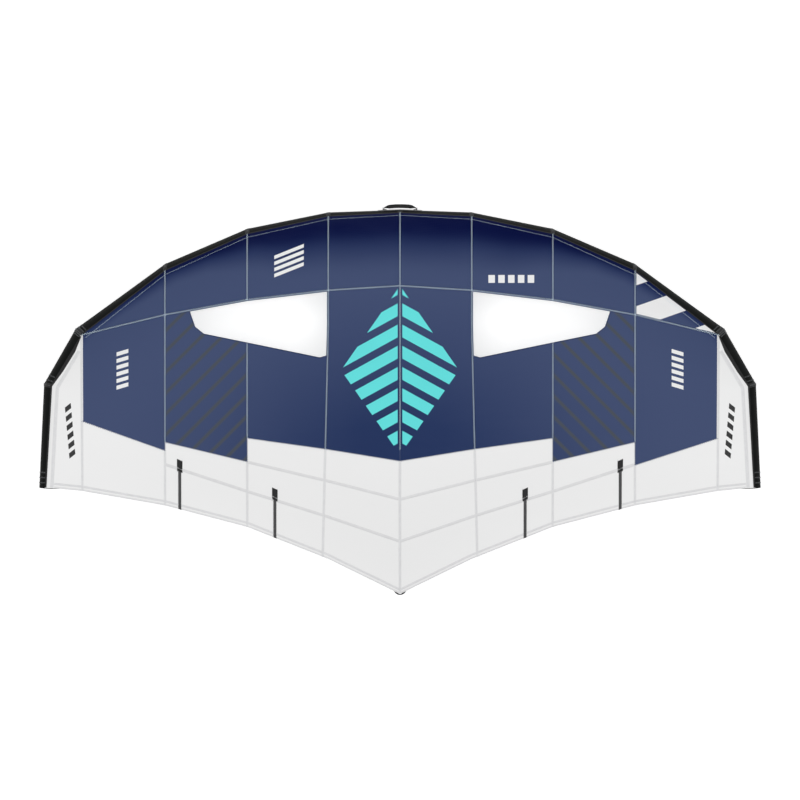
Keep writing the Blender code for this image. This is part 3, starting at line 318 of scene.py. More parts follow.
def surfaceFrame(surface, first, second, lift=0.0):
    # the surface's points and normals; the normal is the cross product of its two slopes
    step = 1e-3
    slopeOne = surface(first + step, second) - surface(first - step, second)
    slopeTwo = surface(first, second + step) - surface(first, second - step)
    normal = unit(np.cross(slopeTwo, slopeOne))
    return surface(first, second) + normal * lift, normal


def sailPath(across, back):
    return surfaceFrame(clothAt, across, back, wing["lift"])


print("form worked out, leave angles", np.round(leave, 1))


# Mesh making
both, rightOnly, leftOnly = (1.0, -1.0), (1.0,), (-1.0,)
tolerances = {"merge": 2e-5, "flat": 1e-6, "cut": 1e-6}


def gridFaces(rows, columns, closed=False, first=0):
    # quads between neighbouring rows; closed joins the last column to the first
    row, column = np.meshgrid(np.arange(rows - 1), np.arange(columns - (not closed)), indexing="ij")
    a = first + row * columns + column
    b = first + row * columns + (column + 1) % columns
    return np.stack([a, b, b + columns, a + columns], -1).reshape(-1, 4)


def paired(first, second):
    return np.stack(np.broadcast_arrays(first, second), -1)


def linked(name, data):
    made = bpy.data.objects.new(name, data)
    bpy.context.scene.collection.objects.link(made)
    return made


def makePiece(name, points, faces, finishes, uv=None, slots=None, smooth=True):
    points, faces = np.asarray(points, float).reshape(-1, 3), np.asarray(faces)
    mesh = bpy.data.meshes.new(name)
    mesh.from_pydata(points, [], faces)
    if uv is not None:
        corner = meshArray(mesh, "loops", "vertex_index", 1, np.int32)[:, 0]
        layer = mesh.uv_layers.new(name="place")
        layer.data.foreach_set("uv", np.asarray(uv, float).reshape(-1, 2)[corner].ravel())
    for finish in finishes:
        mesh.materials.append(finish.material)
    if slots is not None:
        mesh.polygons.foreach_set("material_index", np.asarray(slots, np.int32))
    mesh.polygons.foreach_set("use_smooth", np.full(len(mesh.polygons), smooth))
    return linked(name, mesh)


def meshArray(mesh, items, key, width, kind=np.float64):
    values = np.zeros(len(getattr(mesh, items)) * width, kind)
    getattr(mesh, items).foreach_get(key, values)
    return values.reshape(-1, width)


def reshaped(piece, change):
    # runs a change on the piece's mesh
    shape = bmesh.new()
    shape.from_mesh(piece.data)
    change(shape)
    shape.to_mesh(piece.data)
    shape.free()
    return piece


def merge(shape):
    bmesh.ops.remove_doubles(shape, verts=shape.verts, dist=tolerances["merge"])


def cleanUp(shape):
    merge(shape)
    bmesh.ops.dissolve_degenerate(shape, edges=shape.edges, dist=tolerances["flat"])


def closeUp(shape):
    # merges doubles and turns the faces outwards
    cleanUp(shape)
    bmesh.ops.recalc_face_normals(shape, faces=shape.faces)


def pathLengths(points):
    # distance of each point from the first, along the path
    return np.concatenate([[0.0], np.cumsum(np.linalg.norm(np.diff(points, axis=0), axis=1))])


def closedSkin(name, rows, finishes, girths, slots=None, lengths=None):
    # rings joined into a closed tube; girths are the places round it
    lengths = pathLengths(rows.mean(axis=1)) if lengths is None else lengths
    faces = gridFaces(len(rows), rows.shape[1], True)
    return reshaped(makePiece(name, rows, faces, finishes, paired(lengths[:, None], girths), slots), closeUp)


class Bundle:
    # strips of one kind gathered into one mesh
    def __init__(self):
        self.points, self.faces, self.uv, self.slots, self.count = [], [], [], [], 0

    def add(self, points, faces, uv, slot=0):
        self.points.append(points.reshape(-1, 3))
        self.faces.append(faces + self.count)
        self.uv.append(uv.reshape(-1, 2))
        self.slots.append(np.full(len(faces), slot))
        self.count += len(self.points[-1])

    def piece(self, name, finishes, smooth=True):
        points, faces, uv, slots = map(np.concatenate, (self.points, self.faces, self.uv, self.slots))
        return makePiece(name, points, faces, finishes, uv, slots, smooth)


def alongPath(points, step):
    # places along a path at even steps, as fractions of its own numbering
    lengths = pathLengths(points)
    count = max(2, int(round(lengths[-1] / step)) + 1)
    wanted = np.linspace(0, lengths[-1], count)
    return np.interp(wanted, lengths, np.arange(len(points))), wanted


def sampled(values, places):
    return np.stack([np.interp(places, np.arange(len(values)), column) for column in values.T], 1)


def stepped(path, step):
    # a path of points and normals at even steps, with the directions along and across it
    places, lengths = alongPath(path[0], step)
    middle, up = sampled(path[0], places), unit(sampled(path[1], places))
    run = unit(np.gradient(middle, axis=0))
    return middle, up, run, unit(np.cross(up, run)), lengths


tapeForm = {"offsets": (-1.0, -0.86, 0.0, 0.86, 1.0), "lift": 0.0003, "tuck": -0.00045, "step": 0.012,
            "crown": 0.0004, "thick": 0.0006}
threadForm = {"lift": 0.0009, "rise": 0.6, "lengths": (2.0, 0.45), "swings": (0.5, 0.0, -0.5, 0.0)}
# width, pitch and thread thickness of each kind of stitch row
stitches = {
    "seam": (0.0068, 0.0128, 0.001), "colourLine": (0.0068, 0.0102, 0.001), "frontHem": (0.0045, 0.0105, 0.0005),
    "tipHem": (0.0126, 0.0105, 0.0006), "rearHem": (0.006, 0.008, 0.0006), "ring": (0.004, 0.006, 0.0007),
    "tipMark": (0.006, 0.007, 0.0009), "bendMark": (0.005, 0.008, 0.0007), "nose": (0.012, 0.009, 0.001),
    "tubeBack": (0.009, 0.009, 0.001), "strutSide": (0.008, 0.009, 0.001), "strutRing": (0.008, 0.008, 0.001),
    "pocketEdge": (0.0016, 0.006, 0.0008), "pocketEnd": (0.003, 0.004, 0.0008), "strap": (0.0012, 0.005, 0.0007),
    "patch": (0.002, 0.005, 0.0009), "valvePatch": (0.003, 0.004, 0.0008),
}


def addTape(bundle, path, width, slot=0, crown=tapeForm["crown"]):
    # a flat strip along a path: point + across * o * width / 2 + normal * height, with its edges tucked in
    middle, up, _, cross, lengths = stepped(path, tapeForm["step"])
    offsets, lift, tuck = np.array(tapeForm["offsets"]), tapeForm["lift"], tapeForm["tuck"]
    heights = np.array([tuck, lift, lift + crown, lift, tuck])
    grid = middle[:, None] + cross[:, None] * (offsets[:, None] * width / 2) + up[:, None] * heights[:, None]
    bundle.add(grid, gridFaces(len(middle), 5), paired(lengths[:, None], offsets * width / 2), slot)


def addZigzag(bundle, path, kind, lift=threadForm["lift"], slot=0, shift=0.0):
    # stitches from side to side: point + across * (shift +- width / 2), each a low roof of two faces that
    # swells where the needle went through
    width, pitch, thread = stitches[kind]
    middle, up, run, cross, lengths = stepped(path, pitch / 4)
    phase = np.arange(len(middle)) % 4
    swing = np.array(threadForm["swings"])[phase] * width + shift
    half = (np.array(threadForm["lengths"])[phase % 2] * thread)[:, None]
    corner = middle + cross * swing[:, None]
    rows = [corner - run * half, corner + up * thread * threadForm["rise"], corner + run * half]
    uv = paired(lengths[:, None], np.array([-0.5, 0.0, 0.5]) * thread)
    bundle.add(np.stack(rows, 1) + up[:, None] * lift, gridFaces(len(middle), 3), uv, slot)


def onSide(side, path):
    # the path as it is, or mirrored to the left
    return [part * [side, 1.0, 1.0] for part in path]


def sew(bundles, path, tape=0.0, kind=None, slot=0, sides=both, crown=tapeForm["crown"], lift=threadForm["lift"]):
    # a tape and a row of stitches along a path, on one side of the wing or both
    for side in sides:
        if tape:
            addTape(bundles[0], onSide(side, path), tape, slot, crown)
        if kind:
            addZigzag(bundles[1], onSide(side, path), kind, lift, slot)


# Cloth finishes
# distances behind the front outline over which the navy cloth lightens, as the painted shade over the tube fades out
shadeReach = {"edge": (0.07, 0.2), "tube": (0.1, 0.34)}
tones = {
    # the navies over the tube and towards the rear are painted shade on the navy cloth
    "edgeShadowNavy": linear(1, 11, 60), "tubeShadowNavy": linear(22, 37, 80), "navy": linear(64, 76, 110),
    "rearShadeNavy": linear(34, 50, 90), "white": linear(234, 234, 234), "stripe": linear(71, 77, 86),
    "teal": linear(98, 218, 217), "yarnNavy": linear(84, 95, 128), "yarnGrey": linear(205, 206, 208),
    "black": linear(12, 14, 13), "dust": linear(44, 46, 46), "strap": linear(42, 42, 43),
    "tape": linear(228, 228, 229), "lineTape": linear(225, 225, 226), "pocket": linear(78, 78, 79),
    "thread": linear(208, 226, 246), "greyThread": linear(206, 207, 209), "darkThread": linear(50, 50, 52),
    "dimThread": linear(88, 90, 92), "foam": linear(13, 13, 14), "rubbedFoam": linear(25, 25, 27),
    "film": linear(240, 243, 244), "bladder": linear(196, 200, 190), "plastic": linear(36, 36, 38),
    "greyPlastic": linear(120, 121, 124),
}


def ripstop(finish):
    # a square grid of heavier yarns over a fine weave, with slow waves in the stretched cloth
    yarns = finish.gridLines(0.009, 0.42, 0.49)
    grain = finish.noise(900.0, 1.0)
    stretched = finish.node("ShaderNodeMapping", None, {"Vector": finish.place(), "Scale": (2.2, 7.0, 2.0)})
    waves = finish.noise(1.0, 3.0, 0.55, stretched)
    finish.bump(yarns * 0.5 + grain * 0.5 + waves * 9.0, 0.00025, 0.6)
    return yarns, waves


def navyCloth(name, extra=None, paintedShade=0.0):
    # painted shade: dark over the tube, where the black tube shows through the cloth and the cloth curves down to the
    # front, light just behind it, then slowly darker towards the rear, where the cloth slopes down
    finish = Finish(name, Specular_IOR_Level=0.05)
    yarns, waves = ripstop(finish)
    shade, rear = [finish.node("ShaderNodeAttribute", {"attribute_name": key}, output="Fac")
                   for key in ("tubeShade", "rearShade")]
    # painted shade over the tube, fading out behind it
    dark = finish.mixed(shade.clamped(*shadeReach["edge"]), tones["edgeShadowNavy"], tones["tubeShadowNavy"])
    front = finish.mixed(shade.clamped(*shadeReach["tube"]), dark, tones["navy"])
    # painted shade towards the rear
    colour = finish.mixed(rear, front, tones["rearShadeNavy"])
    if extra:
        colour = extra(finish, colour)
    # painted shade: the whole colour darkened towards black by this share
    colour = finish.mixed(paintedShade, colour, tones["black"])
    colour = finish.mixed(yarns * 0.06 + (waves - 0.5) * 0.15, colour, tones["yarnNavy"])
    finish.feed(Base_Color=colour, Roughness=waves * 0.2 + 0.45)
    return finish


# places on the canopy: x or y of a middle and its half width, slopes, and a bar row's start, pitch, count and share
motif = {
    "lozenge": (0.3, 0.43, 0.15), "slats": (0.55, 0.108, 0.6), "spine": 0.012,
    "bars": (-0.565, 0.075), "barSlope": 0.4, "barRow": (0.8785, 0.031, 4),
    "line": (0.615, 0.02), "lineRow": (0.45, 0.05, 5, 0.66),
    "outer": (1.412, 0.03), "outerSlope": 0.3, "outerRow": (0.4836, 0.034, 6),
    "tip": (1.692, 0.016), "tipSlopes": (0.09, 0.8), "tipRow": (1.045, 0.05, 6),
    "stripes": (0.06, 0.106), "stripeEdge": (0.03, 0.2), "bands": (0.35, 0.055, 0.2165, 0.508),
    "bandHem": (0.757, 1.556),
}


def insideSlab(value, middle, half):
    # 1 where the value is within half of the middle
    return abs(value - middle) < half


def barRow(value, start, pitch, count, share=0.58):
    # whole bars only: bar n runs from start + n * pitch to start + (n + share) * pitch
    half = (count - 1 + share) * pitch / 2
    return insideSlab(value, start + half, half) * (((value - start) / pitch) % 1.0 < share)


def centreMotif(finish, colour):
    # a tall lozenge of teal chevron slats on the middle of the canopy, and a few small bars beside it
    x, y, _ = finish.parted(finish.place())
    side = abs(x)
    halfWidth, halfHeight, middleY = motif["lozenge"]
    lozenge = (side / halfWidth + abs(y - middleY) / halfHeight) < 1.0
    slope, pitch, share = motif["slats"]
    slats = ((y + side * slope) / pitch) % 1.0 < share
    colour = finish.mixed(lozenge * slats * (side > motif["spine"]), colour, tones["teal"])
    bars = insideSlab(x, *motif["bars"]) * barRow(y - x * motif["barSlope"], *motif["barRow"])
    line = insideSlab(y, *motif["line"]) * barRow(x, *motif["lineRow"])
    outer = insideSlab(side, *motif["outer"]) * barRow(y + side * motif["outerSlope"], *motif["outerRow"])
    return finish.mixed(bars + line + outer, colour, tones["white"])


def slantStripes(finish, colour):
    # thin grey stripes at 45 degrees: y + |x| repeats every 106 mm
    x, y, _ = finish.parted(finish.place())
    start, pitch = motif["stripes"]
    phase = ((y + abs(x) - start) / pitch + 0.5) % 1.0
    return finish.mixed(1.0 - abs(phase - 0.5).clamped(*motif["stripeEdge"]), colour, tones["stripe"])


def slantBands(finish, colour):
    # broad white bands: y - 0.35 x repeats every 216.5 mm, up to the front hem
    x, y, _ = finish.parted(finish.place())
    slope, shift, pitch, share = motif["bands"]
    band = ((y - x * slope + shift) / pitch) % 1.0 < share
    hemSlope, hemEnd = motif["bandHem"]
    hem = (y + x * hemSlope) < hemEnd
    return finish.mixed(band * hem, colour, tones["white"])


def paleCloth(name, colour):
    # white ripstop with a row of small dark bars near each tip
    finish = Finish(name, Specular_IOR_Level=0.2)
    yarns, waves = ripstop(finish)
    x, y, _ = finish.parted(finish.place())
    side = abs(x)
    slope, rowSlope = motif["tipSlopes"]
    marks = insideSlab(side - y * slope, *motif["tip"]) * barRow(y + side * rowSlope, *motif["tipRow"])
    shaded = finish.mixed(yarns * 0.05 + waves * 0.04, colour, tones["yarnGrey"])
    finish.feed(Base_Color=finish.mixed(marks, shaded, tones["strap"]), Roughness=waves * 0.2 + 0.4)
    return finish


def wovenStrip(name, colour, pitch=0.0016, depth=0.0003, roughness=0.72, contrast=0.25):
    # plain weave of a tape or webbing: two crossed rows of rounded yarns
    finish = Finish(name, Specular_IOR_Level=0.2)
    along, across = finish.sewnPlace()
    weave = (along * (6.283 / pitch)).sine() * (across * (6.283 / pitch)).sine()
    wear = finish.noise(35.0, 4.0, 0.6)
    finish.bump(weave * 0.5 + wear * 0.4, depth, 0.7)
    shaded = finish.mixed(weave * 0.5 * contrast + wear * 0.5, colour, scaled(colour, 0.7))
    finish.feed(Base_Color=shaded, Roughness=wear * 0.2 + (roughness - 0.1))
    return finish


def twistedThread(name, colour):
    # sewing thread: slanted strands along each stitch
    finish = Finish(name, Specular_IOR_Level=0.4)
    along, across = finish.sewnPlace()
    twist = (along * 5200.0 + across * 5200.0).sine()
    grain = finish.noise(60.0)
    finish.bump(twist, 0.00015, 0.5)
    finish.feed(Base_Color=finish.mixed(grain, colour, scaled(colour, 1.25)), Roughness=grain * 0.2 + 0.45)
    return finish


def sailcloth(name, colour):
    # heavy plain-woven polyester: fine weave, a faint 5 mm rib grid, dusty wear on the high places
    finish = Finish(name, Specular_IOR_Level=0.1)
    rib = finish.gridLines(0.005, 0.4, 0.5)
    grain, dust, slack = finish.noise(700.0), finish.noise(9.0, 5.0, 0.6), finish.noise(14.0)
    finish.bump(rib * 0.4 + grain * 0.4 + slack * 2.5, 0.00035, 0.7)
    shaded = finish.mixed(dust.clamped(0.45, 0.8) * 0.3 + rib * 0.06, colour, tones["dust"])
    finish.feed(Base_Color=shaded, Roughness=dust * 0.25 + 0.6)
    return finish


def gripFoam(name):
    # moulded grip sleeve: pebbled skin, rubbed shiny on its high places
    finish = Finish(name, Specular_IOR_Level=0.25)
    pebble = finish.node("ShaderNodeTexVoronoi", None, {"Vector": finish.place(), "Scale": 620.0}, "Distance")
    rubbed = finish.noise(30.0, 3.0)
    finish.bump(pebble, 0.0004, 0.6)
    colour = finish.mixed(rubbed.clamped(0.4, 0.7), tones["foam"], tones["rubbedFoam"])
    finish.feed(Base_Color=colour, Roughness=rubbed * 0.35 + 0.4)
    return finish


def mouldedPlastic(name, colour, roughness=0.42):
    # fine spark-etched skin with faint flow marks
    finish = Finish(name, Specular_IOR_Level=0.5)
    etch, flow = finish.noise(1500.0), finish.noise(40.0, 3.0)
    finish.bump(etch, 0.0001, 0.5)
    finish.feed(Base_Color=finish.mixed(flow, colour, scaled(colour, 1.35)), Roughness=flow * 0.2 + (roughness - 0.1))
    return finish


def fibreFilm(name, alpha, colour, pitch=0.012):
    # clear film with a square grid of fibres laid in it
    finish = Finish(name, Specular_IOR_Level=0.5, Roughness=0.16)
    fibres = finish.gridLines(pitch, 0.45, 0.49)
    haze = finish.noise(6.0, 3.0)
    finish.bump(fibres * 0.5 + haze * 3.0, 0.0003, 0.5)
    finish.feed(
        Base_Color=finish.mixed(fibres * 0.5, colour, tones["white"]),
        Alpha=haze * 0.08 + fibres * 0.05 + alpha)
    finish.material.surface_render_method = "BLENDED"
    return finish


navyFinish = navyCloth("navyRipstop", centreMotif)
stripedFinish = navyCloth("stripedRipstop", slantStripes)
bandedFinish = navyCloth("bandedRipstop", slantBands)
whiteFinish = paleCloth("whiteRipstop", tones["white"])
filmFinish = fibreFilm("clearFilm", 0.07, tones["film"])
bladderFinish = fibreFilm("bladderFilm", 0.75, tones["bladder"], 0.05)
sailclothFinish = sailcloth("blackSailcloth", tones["black"])
strapFinish = wovenStrip("blackWebbing", tones["strap"])
battenFinish = wovenStrip("battenWebbing", tones["pocket"])
patchFinish = wovenStrip("reinforcementCloth", tones["strap"], 0.0011, 0.0002, 0.65)
# the navy seam tapes are the cloth's own colour, darkened as painted shade along the seams
navyTape = navyCloth("navySeamTape", None, 0.3)
greyTape = wovenStrip("greySeamTape", tones["tape"], 0.001, 0.0002, 0.6, 0.1)
lineTape = wovenStrip("greyLineTape", tones["lineTape"], 0.001, 0.0002, 0.6, 0.1)
paleThread, greyThread, navyThread, darkThread, dimThread = [
    twistedThread(name, tones[tone]) for name, tone in (
        ("paleThread", "thread"), ("greyThread", "greyThread"), ("navyThread", "navy"),
        ("darkThread", "darkThread"), ("dimThread", "dimThread"))]
foamFinish = gripFoam("gripFoam")
plasticFinish = mouldedPlastic("blackPlastic", tones["plastic"])
greyPlasticFinish = mouldedPlastic("greyPlastic", tones["greyPlastic"], 0.35)
print("finishes made")


# Canopy: one continuous cambered sheet, sewn from panels
canopy = {
    "columnSteps": 22, "wrapSteps": 9, "backSteps": 64, "tipSteps": 14,
    "crossShares": (0.198, 0.2096, 0.2344, 0.2734),
    "colourShares": ((0.6536, 0.6234), (0.6234, 0.5938), (0.6552, 0.6042), (0.6263, 0.5495)),
    "rightColour": (0.6642, 0.5941), "tipSeam": ((1.6205, 0.3295), (1.6155, -0.462)),
    "windowInner": 0.3789, "windowSpans": (0.2223, 0.5447, 0.5692, 0.585),
    # shadeStart and shadeLength place the painted rear shade; the easing and weights spread the painted shade outboard
    "windowShares": (0.3854, 0.3237, 0.3052), "shadeStart": 0.4, "shadeLength": 0.7,
    "shadeSides": (0.56, 0.98, 1.4), "easingSide": 0.3, "easing": (1.0, 0.9, 0.42, 0.28),
    "weightSide": 0.18, "weights": (1.0, 0.72, 0.28, 0.14),
}


def setback(share):
    return wing["frontY"] - wing["chord"] * np.asarray(share)


crossY = np.array([*setback(canopy["crossShares"]), canopy["tipSeam"][0][1]])
colourY = setback(canopy["colourShares"])


def sailShades(points):
    # distance behind the front outline in plan, eased outboard, and the share of painted rear shade
    side, starts = np.abs(points[:, 0]), outline[:-1]
    runs = np.diff(outline, axis=0)
    away = np.stack([side, points[:, 1]], 1)[:, None] - starts
    share = np.clip((away * runs).sum(2) / (runs ** 2).sum(1), 0, 1)
    behind = np.linalg.norm(away - share[..., None] * runs, axis=2).min(1)
    easing = np.interp(side, [canopy["easingSide"], *canopy["shadeSides"]], canopy["easing"])
    weight = np.interp(side, [canopy["weightSide"], *canopy["shadeSides"]], canopy["weights"])
    return behind / easing, np.clip((behind - canopy["shadeStart"]) / canopy["shadeLength"], 0, 1) * weight


def addShades(piece):
    shades = sailShades(meshArray(piece.data, "vertices", "co", 3))
    for name, values in zip(("tubeShade", "rearShade"), shades):
        piece.data.attributes.new(name, "FLOAT", "POINT").data.foreach_set("value", values)


def planPoint(across, y):
    return clothAt(np.array([float(across)]), backAt(np.array([float(across)]), y))[0, :2]


def tipLine(y):
    # the plan line of the tip seam: x at this y
    (frontX, frontY), (rearX, rearY) = canopy["tipSeam"]
    return np.interp(y, [rearY, frontY], [rearX, frontX])


def planLine(column, near, far):
    # a plan line through one column, to its far seam or to the tip seam
    return planPoint(column, near), planPoint(column + 1, far) if column < 3 else np.array([tipLine(far), far])


# the plan lines of each column's cross seam and colour seam
seamLines = [[planLine(column, crossY[column], crossY[column + 1]), planLine(column, *colourY[column])]
             for column in range(4)]
rightColour = setback(canopy["rightColour"])
rightLine = planLine(3, *rightColour)

windowSpans = np.array([wing["spanShares"][1], *canopy["windowSpans"]])
windowAcross = acrossAt(windowSpans * wing["halfSpan"])
windowTop = np.interp(windowAcross, np.arange(5.0), crossY)
windowLow = np.array([*setback([canopy["windowInner"], *canopy["windowShares"]]), windowTop[-1]])


def surfaceGrid(surface, first, second):
    return surfaceFrame(surface, *np.meshgrid(first, second, indexing="ij"))


def sewnSheet():
    # right half on a grid: seams across, tube wrap and chord along it, then the tip panel
    across = np.linspace(0, 4, 4 * canopy["columnSteps"] + 1)
    fold = canopy["wrapSteps"]
    wrap = np.linspace(-1, 0, fold + 1)
    behind = np.linspace(0, 1, canopy["backSteps"] + 1)
    back = np.concatenate([wrap, behind[1:]])
    inward = np.concatenate([wrap, np.linspace(0, 1, canopy["tipSteps"] + 1)[1:]])
    main, normals = surfaceGrid(clothAt, across, back)
    main = main + normals * wing["lift"]
    tip, normals = surfaceGrid(tipAt, behind, inward)
    tip = tip + upwards(normals) * wing["lift"]
    tip[0, :fold + 1] = main[-1, :fold + 1]
    tip[:, -1] = main[-1, fold:]
    tip[0, fold:] = main[-1, fold]
    tipFaces = gridFaces(len(behind), len(inward), first=len(across) * len(back))
    steps = np.linalg.norm(np.diff(main, axis=1, prepend=main[:, :1]), axis=2)
    mainMap = np.stack([main[..., 0], np.cumsum(steps, axis=1)], -1)
    slots = [np.repeat(np.arange(4), canopy["columnSteps"] * (len(back) - 1)), np.full(len(tipFaces), 4)]
    return (np.concatenate([main.reshape(-1, 3), tip.reshape(-1, 3)]),
            np.concatenate([gridFaces(len(across), len(back)), tipFaces]),
            np.concatenate([mainMap.reshape(-1, 2), tip[..., :2].reshape(-1, 2)]), np.concatenate(slots))


def cutLine(shape, column, first, second):
    # new edges through one column, where a vertical plane through two plan points meets it
    faces = [face for face in shape.faces if face.material_index == column]
    parts = {*faces, *(e for f in faces for e in f.edges), *(v for f in faces for v in f.verts)}
    normal = (-(second[1] - first[1]), second[0] - first[0], 0.0)
    bmesh.ops.bisect_plane(
        shape, geom=list(parts), dist=tolerances["cut"], plane_co=(*first, 0.0), plane_no=normal)


def cutAndMirror(shape):
    # edges along every seam, colour line and window, then the left half
    for column, lines in enumerate(seamLines):
        for line in lines:
            cutLine(shape, column, *line)
            if column == 3:
                cutLine(shape, 4, *line)
    for column in (3, 4):
        cutLine(shape, column, *canopy["tipSeam"])
        cutLine(shape, column, *rightLine)
    for near in range(4):
        start, end = windowAcross[near:near + 2]
        corners = [planPoint(windowAcross[place], windowLow[place]) for place in (near, near + 1)]
        inside = (start + tolerances["cut"], (start + end) / 2, end - tolerances["cut"])
        for column in set(map(int, inside)):
            cutLine(shape, column, *corners)
    copied = bmesh.ops.duplicate(shape, geom=[*shape.verts, *shape.edges, *shape.faces])["geom"]
    verts = [part for part in copied if isinstance(part, bmesh.types.BMVert)]
    bmesh.ops.scale(shape, vec=(-1.0, 1.0, 1.0), verts=verts)
    bmesh.ops.reverse_faces(shape, faces=[part for part in copied if isinstance(part, bmesh.types.BMFace)])
    merge(shape)


def zoneOf(mesh):
    # 0 navy, 1 striped, 2 white, 3 banded, 4 window, from the column and the middle of each face
    middle = meshArray(mesh, "polygons", "center", 3)
    column = meshArray(mesh, "polygons", "material_index", 1, np.int32)[:, 0]
    side, back, onRight = np.abs(middle[:, 0]), middle[:, 1], middle[:, 0] > 0
    outboard = (column >= 3) & (back < canopy["tipSeam"][0][1])
    column = np.where(outboard, np.where(side > tipLine(back), 4, 3), column)
    ends = np.array(seamLines)[np.clip(column, 0, 3)]
    # y of each seam at this x: y0 + (y1 - y0) * (x - x0) / (x1 - x0)
    starts, runs = ends[:, :, 0], ends[:, :, 1] - ends[:, :, 0]
    cross, colour = (starts[..., 1] + runs[..., 1] / runs[..., 0] * (side[:, None] - starts[..., 0])).T
    (nearX, nearY), (farX, farY) = rightLine
    rightY = nearY + (farY - nearY) * (side - nearX) / (farX - nearX)
    colour = np.where((column == 3) & onRight, rightY, colour)
    spans = windowSpans * wing["halfSpan"]
    low = np.interp(side, spans, windowLow)
    zone = np.zeros(len(column), np.int32)
    zone[(column == 2) & (back < cross)] = 1
    zone[(column == 3) & (back > cross) & onRight] = 3
    zone[(column == 4) | (back < colour)] = 2
    zone[(side > spans[0]) & (side < spans[-1]) & (back < cross) & (back > low)] = 4
    return zone, middle


def withoutFaces(piece, unwanted):
    def remove(shape):
        faces = [face for face, out in zip(shape.faces, unwanted) if out]
        bmesh.ops.delete(shape, geom=faces, context="FACES")
    reshaped(piece, remove)


points, faces, uv, slots = sewnSheet()
sheet = reshaped(makePiece("canopy", points, faces, [navyFinish] * 5, uv, slots), cleanUp)
reshaped(sheet, cutAndMirror)
whole = bmesh.new()
whole.from_mesh(sheet.data)
clothTree = BVHTree.FromBMesh(whole)
whole.free()
zones, middles = zoneOf(sheet.data)
sheet.data.materials.clear()
for finish in (navyFinish, stripedFinish, whiteFinish, bandedFinish, filmFinish):
    sheet.data.materials.append(finish.material)
sheet.data.polygons.foreach_set("material_index", zones)
windows = []
for sideName, side in (("Right", 1), ("Left", -1)):
    windows.append(linked(f"windowFilm{sideName}", sheet.data.copy()))
    withoutFaces(windows[-1], (zones != 4) | (middles[:, 0] * side < 0))
withoutFaces(sheet, zones == 4)
# the cloth's painted shade, by place on the wing
addShades(sheet)
print("canopy sewn:", len(sheet.data.polygons), "faces")


# Leading edge: an inflated, tapering tube that bends at each seam
leadingEdge = {
    "around": 120, "runSteps": 10, "creaseShare": 0.02, "even": (0.1, 0.9), "endCrown": 0.0036, "endRings": 6,
    "endShrink": 0.999, "bladderAround": 32, "bladderSteps": 3, "bladderEnd": 5.9, "bladderInset": 0.006,
}


def bendPlaces(steps, crease):
    # places along the runs, with close ones each side of every bend so that it shows as a crease
    inner = np.concatenate([[0.0, crease], np.linspace(*leadingEdge["even"], steps - 1), [1 - crease]])
    return np.concatenate([*(inner + bend for bend in range(6)), [6.0]])


def tubeSkin(name, finish, offset, around, steps, finalPlace=6.0):
    # both halves in one closed tube: rings from the left tip over the centre to the right tip
    places = np.minimum(bendPlaces(steps, leadingEdge["creaseShare"]), finalPlace)
    turns = np.linspace(0, 3, around, endpoint=False)
    right = tubeAt(places[:, None], turns[None], np.full((1, around), offset))
    # the tip closes in a low dome: each ring shrinks as cos a while it moves out as sin a
    swell = np.linspace(0, np.pi / 2, leadingEdge["endRings"])[1:, None, None]
    rim, middle = right[-1], right[-1].mean(axis=0)
    out = unit(middle - right[-3].mean(axis=0) if finalPlace < 6 else centres[6] - centres[5])
    dome = middle + (rim - middle) * np.cos(swell) * leadingEdge["endShrink"]
    dome = dome + out * (np.sin(swell) * leadingEdge["endCrown"])
    right = np.concatenate([right, dome])
    rows = np.concatenate([right[:0:-1] * [-1.0, 1.0, 1.0], right])
    girth = np.linalg.norm(rows - rows.mean(axis=1, keepdims=True), axis=2).mean(axis=1) * 2 * np.pi
    return closedSkin(name, rows, [finish], girth[:, None] * (np.arange(around) / around))


tubePiece = tubeSkin("leadingEdgeSkin", sailclothFinish, 0.0, leadingEdge["around"], leadingEdge["runSteps"])
tubeBladder = tubeSkin(
    "leadingEdgeBladder", bladderFinish, -leadingEdge["bladderInset"], leadingEdge["bladderAround"],
    leadingEdge["bladderSteps"], leadingEdge["bladderEnd"])
print("leading edge made")


# Strut: a second tube under the middle of the canopy
strut = {
    "frontRadius": 0.07, "waistRadius": 0.066, "tailRadius": 0.033, "waistShare": 0.5,
    "taperShare": 0.3, "tailReach": 0.0055, "axisLift": 0.015, "blendLength": 0.4, "around": 64,
    "rows": 90, "domeRings": 11, "mapRadius": 0.06, "frontGap": 0.012,
}
tubeBackY = centres[0, 1] - radii[0]
tailY = wing["frontY"] - wing["chord"] - strut["tailReach"] + strut["tailRadius"]


def strutRadius(y):
    # nearly even to half way, then a smooth taper to the tail
    back = (tubeBackY - y) / (tubeBackY - tailY)
    body = blend(strut["frontRadius"], strut["waistRadius"], smoothShare(back / strut["waistShare"]))
    taper = smoothShare((back - strut["taperShare"]) / (1 - strut["taperShare"]))
    return blend(body, strut["tailRadius"], taper)


def strutHeight(y):
    # hangs under the middle seam, and dips at its front to meet the tube's back
    share = np.clip(backAt(0.0, y), 0.0, 1.0)
    under = seamPoint(np.zeros(np.shape(y), int), share)[..., 2] - wing["gap"] - strutRadius(y)
    low = centres[0, 2] + strut["axisLift"]
    return blend(low, under, smoothShare((tubeBackY - y) / strut["blendLength"]))


def strutAxis(y):
    return np.stack([np.zeros(np.shape(y)), y, strutHeight(y)], -1)


def strutAt(y, angle, offset=0.0):
    # centre + (radius + offset) * (cos a, sin a) across the strut
    y, angle = np.broadcast_arrays(np.asarray(y, float), angle)
    radius = strutRadius(y) + offset
    return np.stack([radius * np.cos(angle), y, strutHeight(y) + radius * np.sin(angle)], -1)


